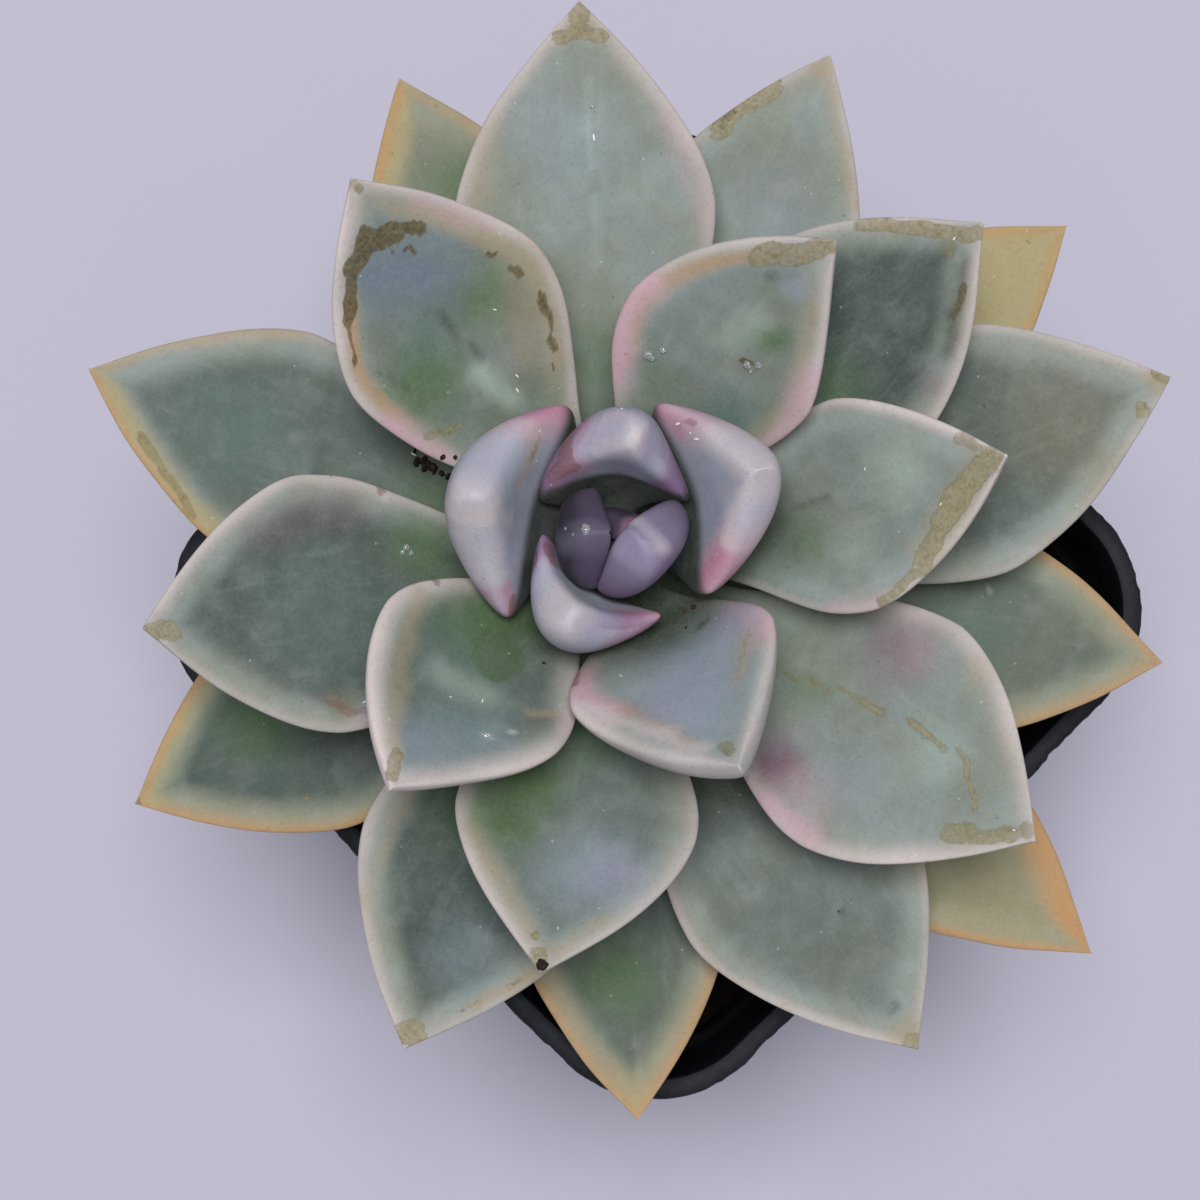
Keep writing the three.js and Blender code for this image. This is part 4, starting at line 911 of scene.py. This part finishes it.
def square_ring(half, corner, z, bow=0.0):
    """One level ring of a square with round corners, whose sides may swell out at their middle."""
    ring = []
    for quarter in range(4):
        start = quarter * math.pi / 2
        side = half - corner
        cx = side * math.copysign(1, math.cos(start + math.pi / 4))
        cy = side * math.copysign(1, math.sin(start + math.pi / 4))
        for i in range(CORNER_POINTS):
            a = start + i / CORNER_POINTS * math.pi / 2
            ring.append((cx + corner * math.cos(a), cy + corner * math.sin(a), z))
        end = start + math.pi / 2
        out = (math.cos(end), math.sin(end))
        run = (-math.sin(end), math.cos(end))
        for i in range(SIDE_POINTS):
            place = side * (1 - 2 * i / SIDE_POINTS)
            push = half + bow * (1 - (place / side) ** 2)
            ring.append((out[0] * push - run[0] * place, out[1] * push - run[1] * place, z))
    return np.array(ring)


def wall_half(z):
    straight = lerp(BASE_HALF, LIP_HALF - LIP_WIDTH + POT_WALL - SHOULDER_STEP, z / POT_HEIGHT)
    return straight + SHOULDER_STEP * float(ease(z, SHOULDER_HEIGHT, SHOULDER_HEIGHT + 1))


def wall_corner(z):
    return lerp(BASE_CORNER, POT_CORNER - (LIP_HALF - wall_half(POT_HEIGHT)), z / POT_HEIGHT)


def pot_rings():
    """The pot's outline from the middle of its underside, up outside, over the lip and down inside."""
    def bow(z):
        return WALL_BOW * math.sin(math.pi * min(z / SHOULDER_HEIGHT, 1) * 0.8)

    def outer(z):
        return square_ring(wall_half(z), wall_corner(z), z, bow(z))

    def inner(z):
        return square_ring(wall_half(z) - POT_WALL, wall_corner(z) - POT_WALL, z, bow(z))

    lip_bow = bow(POT_HEIGHT)
    foot_inner = BASE_HALF - FOOT_WIDTH
    under = POT_HEIGHT - LIP_THICKNESS
    levels = [1.6, 6, 12, 18, 25, 32, 39, 46, 52, 56, 58.6, 59, 59.35, 59.7, 60.2, 63, 66]
    rings = [square_ring(PAD_RADIUS, PAD_RADIUS * 0.98, 0),
             square_ring(PAD_RADIUS + FLOOR_RISE, PAD_RADIUS * 0.98 + FLOOR_RISE, FLOOR_RISE),
             square_ring(foot_inner - FLOOR_RISE, 6, FLOOR_RISE),
             square_ring(foot_inner, 7, 0),
             square_ring(BASE_HALF - 1, BASE_CORNER - 1, 0),
             square_ring(BASE_HALF - 0.5, BASE_CORNER - 0.5, 0.2),
             square_ring(BASE_HALF - 0.2, BASE_CORNER - 0.2, 0.9)]
    rings += [outer(z) for z in levels]
    rings += [outer(under - 0.3),
              square_ring(wall_half(under) + 0.3, wall_corner(under) + 0.3, under, lip_bow)]
    first_lip = len(rings)
    rings += [square_ring(LIP_HALF - 0.5, POT_CORNER - 0.5, under, lip_bow),
              square_ring(LIP_HALF - 0.1, POT_CORNER - 0.1, under + 0.15, lip_bow),
              square_ring(LIP_HALF, POT_CORNER, under + 0.5, lip_bow),
              square_ring(LIP_HALF, POT_CORNER, POT_HEIGHT - 0.5, lip_bow),
              square_ring(LIP_HALF - 0.15, POT_CORNER - 0.15, POT_HEIGHT - 0.15, lip_bow),
              square_ring(LIP_HALF - 0.5, POT_CORNER - 0.5, POT_HEIGHT, lip_bow)]
    last_lip = len(rings)
    rings += [square_ring(LIP_HALF - LIP_WIDTH + 0.6, POT_CORNER - LIP_WIDTH + 0.6, POT_HEIGHT, lip_bow),
              square_ring(LIP_HALF - LIP_WIDTH + 0.2, POT_CORNER - LIP_WIDTH + 0.2, POT_HEIGHT - 0.12,
                          lip_bow)]
    rings += [inner(POT_HEIGHT - 0.5)] + [inner(z) for z in levels[::-1] if z > 2]
    rings += [inner(FLOOR_THICKNESS + 1.4),
              square_ring(BASE_HALF - POT_WALL - 1, BASE_CORNER - POT_WALL - 1, FLOOR_THICKNESS),
              square_ring(foot_inner + 0.4, 7, FLOOR_THICKNESS),
              square_ring(foot_inner - FLOOR_RISE + 0.4, 6, FLOOR_RISE + FLOOR_THICKNESS),
              square_ring(PAD_RADIUS + FLOOR_RISE - 0.4, PAD_RADIUS, FLOOR_RISE + FLOOR_THICKNESS),
              square_ring(PAD_RADIUS - 0.4, PAD_RADIUS * 0.9, FLOOR_THICKNESS)]
    return rings, first_lip, last_lip


def tear_lip(rings, first, last):
    """Nicks the lip's outer edge, as a cheap moulding's flash tears."""
    middle = rings[first + 2]
    outward = middle / np.linalg.norm(middle[:, :2], axis=1)[:, None]
    outward[:, 2] = 0
    wave = ripple(middle, 5, 3) * 0.5 + ripple(middle, 1.6, 4) * 0.35 + ripple(middle, 0.7, 5) * 0.3
    nick = np.clip(wave, -0.2, 1) * NICK_DEPTH
    for row in range(first, last):
        rings[row] = rings[row] - outward * nick[:, None]
        rings[row][:, 2] += 0.1 * ripple(middle, 9, 6)


def cutter(name, mesh_maker):
    mesh = bpy.data.meshes.new(name)
    shape = bmesh.new()
    mesh_maker(shape)
    shape.to_mesh(mesh)
    shape.free()
    made = bpy.data.objects.new(name, mesh)
    bpy.context.scene.collection.objects.link(made)
    return made


def drain_cutters(shape):
    """Round drain holes in the floor, and a slot in each side of the foot."""
    for i in range(DRAIN_COUNT):
        turn = (i + 0.5) * 2 * math.pi / DRAIN_COUNT
        place = Vector((DRAIN_RING * math.cos(turn), DRAIN_RING * math.sin(turn), FLOOR_RISE)) * MM
        bmesh.ops.create_cone(shape, cap_ends=True, segments=40, radius1=DRAIN_RADIUS * MM,
                              radius2=DRAIN_RADIUS * MM, depth=8 * MM, matrix=Matrix.Translation(place))
    for side in range(4):
        size = Matrix.Diagonal((FOOT_WIDTH + 6, OUTLET_WIDTH, 2 * FLOOR_RISE, 1))
        shift = Matrix.Translation((BASE_HALF - FOOT_WIDTH / 2 + 1, 0, -0.4))
        turn = Matrix.Rotation(side * math.pi / 2, 4, "Z")
        bmesh.ops.create_cube(shape, size=1, matrix=Matrix.Scale(MM, 4) @ turn @ shift @ size)


def add_pot(material):
    rings, first, last = pot_rings()
    tear_lip(rings, first, last)
    sides = len(rings[0])
    scuff = np.zeros((len(rings), sides))
    scuff[first - 1:last + 2] = 1
    ends = [[0, 0, 0], [0, 0, FLOOR_THICKNESS]]
    points = np.concatenate(rings + [np.array(ends, float)])
    layers = {"scuff": np.concatenate([scuff.ravel(), [0, 0]])}
    faces = capped_faces(len(rings), sides)
    pot = make_piece("pot_moulding", points, faces, material, ["pot"], layers)
    holes = cutter("drain cutters", drain_cutters)
    cut = pot.modifiers.new("drains", "BOOLEAN")
    cut.operation = "DIFFERENCE"
    cut.object = holes
    bpy.context.view_layer.update()
    ready = bpy.data.meshes.new_from_object(pot.evaluated_get(bpy.context.evaluated_depsgraph_get()))
    pot.modifiers.clear()
    pot.data = ready
    bpy.data.objects.remove(holes)
    shape = bmesh.new()
    shape.from_mesh(ready)
    for edge in shape.edges:
        edge.smooth = len(edge.link_faces) == 2 and edge.calc_face_angle(0) < math.radians(32)
    shape.to_mesh(ready)
    shape.free()


def soil_height(x, y, middle):
    """The soil's surface, a little higher round the stem."""
    bump_up = np.sin(x * 0.55 + 1.3) * np.cos(y * 0.47) + 0.6 * np.sin(x * 1.1 - y * 0.9)
    return SOIL_TOP + SOIL_RELIEF * bump_up * 0.6 + middle * 1.5


def add_soil(material, crumb_material):
    rings = []
    foot = FLOOR_RISE + FLOOR_THICKNESS + GAP
    rings.append(square_ring(BASE_HALF - POT_WALL - 1.2, BASE_CORNER - POT_WALL - 1.2, foot))
    for z in (foot + 1.5, 20, 40, SOIL_TOP - 1):
        rings.append(square_ring(wall_half(z) - POT_WALL - 0.1, wall_corner(z) - POT_WALL - 0.1, z))
    rim = rings[-1]
    count = 46
    for ring in range(count):
        share = 1 - ring / count
        flat = rim * share
        flat[:, 2] = soil_height(flat[:, 0], flat[:, 1], 1 - share)
        flat[:, 2] += 0.5 * ripple(flat, 3, 8) + 0.3 * ripple(flat, 1.1, 9)
        rings.append(flat)
    ends = [[0, 0, foot], [0, 0, SOIL_TOP + 1]]
    points = np.concatenate(rings + [np.array(ends, float)])
    make_piece("soil_bed", points, capped_faces(len(rings), len(rim)), material, ["soil"])
    add_crumbs(crumb_material)


def lump(size, chance, level=1):
    """A small rough lump: its points and faces."""
    shape = bmesh.new()
    bmesh.ops.create_icosphere(shape, subdivisions=level, radius=1)
    squash = Vector((chance.uniform(0.6, 1.2), chance.uniform(0.6, 1.1), chance.uniform(0.45, 0.9)))
    spin = Matrix.Rotation(chance.uniform(0, 6.3), 3, Vector((chance.random(), chance.random(), 1)))
    shift = Vector((chance.uniform(0, 99), 0, 0))
    points = []
    for vertex in shape.verts:
        swell = 1 + 0.35 * noise.noise(vertex.co * 1.7 + shift)
        away = vertex.co * swell
        points.append(spin @ Vector((away.x * squash.x, away.y * squash.y, away.z * squash.z)) * size)
    faces = [[vertex.index for vertex in face.verts] for face in shape.faces]
    shape.free()
    return points, faces


def gather(lumps):
    """Joins lumps into one list of points and one of faces."""
    points = []
    faces = []
    for place, (found, shape_faces) in lumps:
        start = len(points)
        points += [tuple(Vector(place) + p) for p in found]
        faces += [[start + i for i in face] for face in shape_faces]
    return np.array(points), faces


def add_crumbs(material):
    """Grit and bark lying on the soil."""
    chance = random.Random(11)
    reach = wall_half(SOIL_TOP) - POT_WALL - 1.6
    lumps = []
    while len(lumps) < 900:
        x, y = chance.uniform(-reach, reach), chance.uniform(-reach, reach)
        if math.hypot(max(abs(x) - reach + 9, 0), max(abs(y) - reach + 9, 0)) > 9:
            continue
        size = chance.uniform(0.3, 0.8) * (2.2 if chance.random() < 0.07 else 1)
        share = max(abs(x), abs(y)) / reach
        z = float(soil_height(np.array(x), np.array(y), 1 - share)) + size * 0.35
        lumps.append(((x, y, z), lump(size, chance, 2 if size > 0.9 else 1)))
    points, faces = gather(lumps)
    make_piece("soil_crumbs", points, faces, material, [])


def add_stem(material):
    """The bare stem, ringed by the scars of dropped leaves."""
    rows, sides = 150, 72
    z = np.linspace(STEM_FOOT, CROWN_TOP, rows)
    turn = np.arange(sides) / sides * 2 * np.pi
    level, a = np.meshgrid(z, turn, indexing="ij")
    lean = ease(level, STEM_FOOT, CROWN_START)
    winding = level / SCAR_PITCH + a * 3 / (2 * np.pi)
    scar = np.clip(np.cos(winding * 2 * np.pi) * 0.6 + np.cos(a * 5 + level * 2.1) * 0.4, 0, 1)
    fade = 1 - ease(level, CROWN_START - 1, CROWN_START + 3)
    ring = np.stack([np.cos(a) * 5, np.sin(a) * 5, level], -1)
    rough = 0.16 * ripple(ring, 1.8, 12) + 0.08 * ripple(ring, 0.7, 13)
    radius = stem_radius(level) + (0.3 * scar - 0.12 + rough) * fade - 0.25 * (1 - fade)
    points = np.stack([CROWN_X * lean + radius * np.cos(a),
                       lerp(STEM_FOOT_Y, CROWN_Y, lean) + radius * np.sin(a), level], -1).reshape(-1, 3)
    ends = [[0, STEM_FOOT_Y, STEM_FOOT], [CROWN_X, CROWN_Y, CROWN_TOP]]
    points = np.concatenate([points, np.array(ends)])
    layers = {"scar": np.concatenate([(ease(scar, 0.45, 0.9) * fade).ravel(), [0, 0]])}
    make_piece("stem_bark", points, capped_faces(rows, sides), material, ["stem"], layers)


# Small things lying on the leaves

BEAD_HEIGHT = 0.6                # of its width
BEAD_LIFT = 0.15                 # how far the middle of each is above the skin, as a share of its size
FLAKE_LIFT = 0.08
CRUMB_LIFT = 0.3


def leaf_spot(number, t, u, under=False):
    """A place on a leaf's skin, the direction straight out of it and the one towards the leaf's tip."""
    if number >= HEART_NUMBER:
        index = number - HEART_NUMBER
        leaf = leaf_of(HEART[index], HEART_SLIDES[index], HEART_BLUNT)
        base = HEART_FEET[index], HEART_BASE
    else:
        leaf, base = leaf_at(number - 1), rank_base(number - 1)
    ts = np.array([t, t + 0.01, t])
    us = np.array([u, u, u + 0.02])
    at, ahead, aside = leaf_skin(leaf, *base, ts, us, np.array([under] * 3), number)
    out = Vector(np.cross(aside - at, ahead - at)).normalized()
    if under:
        out = -out
    return Vector(at), out, Vector(ahead - at).normalized()


def settle(points, spot, lift, spin=0.0):
    """Lays a small shape on a leaf: its z is turned to point out of the skin, and its x along it."""
    at, out, ahead = spot
    aside = out.cross(ahead).normalized()
    turned = Matrix((aside.cross(out), aside, out)).transposed() @ Matrix.Rotation(spin, 3, "Z")
    return [at + out * lift + turned @ Vector(p) for p in points]


def bead(size):
    """A round drop, a little flattened: its points and faces."""
    shape = bmesh.new()
    bmesh.ops.create_icosphere(shape, subdivisions=3, radius=1)
    points = [Vector((v.co.x, v.co.y, v.co.z * BEAD_HEIGHT)) * size for v in shape.verts]
    faces = [[v.index for v in face.verts] for face in shape.faces]
    shape.free()
    return points, faces


def add_specks(name, material, specks, maker, lift):
    """One piece out of small shapes, each given as (leaf, along, across, size, spin, side)."""
    points, faces = [], []
    for number, t, u, size, spin, *side in specks:
        found, shape_faces = maker(size)
        start = len(points)
        points += [tuple(p) for p in settle(found, leaf_spot(number, t, u, bool(side)), lift * size, spin)]
        faces += [[start + i for i in face] for face in shape_faces]
    make_piece(name, np.array(points), faces, material, [])


# Each is (leaf, along, across, size, spin), with "under" where it lies on the lower side.
BEADS = [(7, 0.45, -0.6, 0.45, 0), (7, 0.445, -0.55, 0.28, 0), (7, 0.48, -0.48, 0.33, 0),
         (7, 0.575, 0.27, 0.4, 0), (7, 0.595, 0.36, 0.33, 0), (7, 0.565, 0.33, 0.22, 0),
         (11, 0.38, 0.45, 0.35, 0), (11, 0.39, 0.4, 0.25, 0), (11, 0.37, 0.4, 0.28, 0),
         (6, 0.67, -0.48, 0.35, 0), (6, 0.64, 0.03, 0.2, 0), (62, 0.95, 0.35, 0.42, 0, "under"),
         (62, 0.93, 0.7, 0.24, 0, "under"), (62, 0.95, -0.2, 0.22, 0, "under"),
         (62, 0.82, 0.2, 0.16, 0, "under"), (62, 0.88, -0.15, 0.13, 0, "under"),
         (63, 0.94, -0.5, 0.15, 0, "under"), (1, 0.86, -0.6, 0.24, 0, "under"),
         (1, 0.86, -0.45, 0.16, 0, "under"), (3, 0.62, -0.75, 0.14, 0), (14, 0.8, 0.12, 0.24, 0)]
FLAKES = [(3, 0.56, -0.82, 0.5, 0.5), (3, 0.66, -0.7, 0.55, 0.2), (3, 0.63, -0.76, 0.3, 0.9),
          (9, 0.4, 0.29, 0.4, 0.4), (9, 0.37, 0.22, 0.55, 0.1), (9, 0.56, 0.4, 0.35, 0.7),
          (4, 0.62, 0.85, 0.28, 0.2), (4, 0.6, 0.5, 0.2, 1.0), (6, 0.58, -0.2, 0.4, 0.4),
          (14, 0.74, 0.11, 0.5, 0.0), (12, 0.93, -0.2, 0.35, 0.3), (8, 0.62, -0.3, 0.3, 1.2),
          (8, 0.8, 0.35, 0.35, 0.5), (11, 0.55, -0.8, 0.4, 0.1), (2, 0.8, 0.9, 0.2, 0.2, "under"),
          (5, 0.4, 0.5, 0.25, 0.4), (10, 0.88, -0.1, 0.25, 0.5), (17, 0.33, 0.5, 0.45, 0.3),
          (17, 0.3, 0.48, 0.4, 1.1), (17, 0.335, 0.43, 0.5, 0.7), (17, 0.3, 0.44, 0.45, 0.2),
          (17, 0.28, 0.47, 0.4, 1.3), (17, 0.35, 0.46, 0.4, 0.1), (13, 0.95, 0.1, 0.3, 0.4),
          (1, 0.55, -0.9, 0.15, 0.2)]
CRUMBS = [(10, 0.985, 0.1, 0.5, 0.3), (10, 0.975, 0.3, 0.3, 1.0), (5, 0.25, -0.72, 0.35, 0.4),
          (5, 0.24, -0.6, 0.25, 1.4), (6, 0.33, -0.45, 0.22, 0.0), (5, 0.3, -0.4, 0.18, 0.0),
          (17, 0.34, 0.4, 0.5, 0.2), (17, 0.33, 0.46, 0.6, 1.0), (17, 0.32, 0.43, 0.55, 2.0),
          (17, 0.305, 0.45, 0.5, 0.5), (17, 0.285, 0.45, 0.5, 0.9), (17, 0.27, 0.46, 0.45, 0.4),
          (17, 0.32, 0.37, 0.3, 1.4), (17, 0.35, 0.5, 0.25, 2.2), (17, 0.3, 0.4, 0.25, 0.3),
          (9, 0.36, -0.93, 0.3, 0.4), (9, 0.34, -0.86, 0.25, 1.4), (18, 0.7, -0.12, 0.12, 0.0),
          (15, 0.66, -0.3, 0.12, 0.0)]


def add_small_things():
    """Beads of water, flakes of dry skin and crumbs of soil that lie on the leaves."""
    water, tree, shader, place = new_material("water")
    shader.inputs["Base Color"].default_value = (0.95, 0.97, 1, 1)
    shader.inputs["Roughness"].default_value = 0.04
    shader.inputs["IOR"].default_value = 1.33
    shader.inputs["Transmission Weight"].default_value = 0.85
    shader.inputs["Specular IOR Level"].default_value = 1.0
    add_specks("water_beads", water, BEADS, bead, BEAD_LIFT)
    dry, tree, shader, place = new_material("dry skin")
    colour = mix(tree, mottle(tree, place, 0.3, 3, 0.6), paint("b9b9b6"), paint("dcdcdc"))
    feed(tree, shader.inputs["Base Color"], colour)
    shader.inputs["Roughness"].default_value = 0.7
    chance = random.Random(5)

    def flake(size):
        points, faces = lump(size * 0.5, chance, 2)
        return [Vector((p.x * 1.5, p.y * 0.45, p.z * 0.2)) for p in points], faces

    def crumb(size):
        return lump(size, chance, 2)

    add_specks("dry_flakes", dry, FLAKES, flake, FLAKE_LIFT)
    add_specks("leaf_crumbs", earth("crumbs", "2a221b", "75685a"), CRUMBS, crumb, CRUMB_LIFT)


# Camera, light and floor

def add_camera():
    camera = bpy.data.cameras.new("camera")
    camera.lens = CAMERA_LENS
    camera.sensor_width = 36
    holder = bpy.data.objects.new("camera", camera)
    bpy.context.scene.collection.objects.link(holder)
    place = Vector(CAMERA_PLACE) * MM
    back = (place - Vector(CAMERA_AIM) * MM).normalized()
    right = Vector((1, -1, 0)).normalized()
    up = back.cross(right)
    holder.matrix_world = Matrix.Translation(place) @ Matrix((right, up, back)).transposed().to_4x4()
    bpy.context.scene.camera = holder


def add_light():
    world = bpy.data.worlds.new("daylight")
    world.use_nodes = True
    sky = world.node_tree.nodes["Background"]
    sky.inputs["Color"].default_value = SKY_COLOUR
    sky.inputs["Strength"].default_value = SKY_STRENGTH
    bpy.context.scene.world = world
    window = bpy.data.lights.new("window", "AREA")
    window.shape = "DISK"
    window.size = WINDOW_SIZE * MM
    window.energy = WINDOW_POWER
    window.color = WINDOW_COLOUR
    holder = bpy.data.objects.new("window", window)
    bpy.context.scene.collection.objects.link(holder)
    holder.location = Vector(WINDOW_PLACE) * MM
    aim = Vector(WINDOW_AIM) * MM - holder.location
    holder.rotation_euler = aim.to_track_quat("-Z", "Y").to_euler()


def add_floor():
    material, tree, shader, place = new_material("pale floor")
    soft = mottle(tree, place, 60, 3, 0.5)
    colour = mix(tree, soft, paint("a3a1b1"), paint("a6a4b4"))
    feed(tree, shader.inputs["Base Color"], colour)
    shader.inputs["Roughness"].default_value = 0.9
    mesh = bpy.data.meshes.new("floor")
    reach = FLOOR_REACH * MM
    corners = [(-reach, -reach, 0), (reach, -reach, 0), (reach, reach, 0), (-reach, reach, 0)]
    mesh.from_pydata(corners, [], [(0, 1, 2, 3)])
    mesh.materials.append(material)
    floor = bpy.data.objects.new("floor", mesh)
    bpy.context.scene.collection.objects.link(floor)


add_camera()
bpy.context.scene.view_settings.view_transform = "Standard"
add_light()
add_floor()
FLESH = {
    "leaf_young": flesh("young leaf", "88869a", "848a96", "6a6f7e", "a9a2b4", 0.2, 0.035, YOUNG),
    "leaf_grown": flesh("grown leaf", "7a8482", "777c72", "3a4642", "b4a9a9", 0.0, 0.035, GROWN),
    "leaf_old": flesh("old leaf", "727a6c", "7a7a68", "3f4b46", "a0907a", 0.0, 0.03, OLD),
}
add_leaves(FLESH)
# The bud's dark colours are partly its own plum and partly painted shade for the hollow it sits in.
add_heart(flesh("heart leaf", "40394c", "463e53", "1a1622", "5f546b", 0.15, 0.008, HEARTS))
add_pot(pot_plastic())
# The soil and its grit are darker than moist peat alone: painted shade for the shadowed inside of the pot.
add_soil(earth("soil", "0b0807", "1a1410"), earth("grit", "140f0c", "2c231b"))
add_stem(stem_bark())
add_small_things()
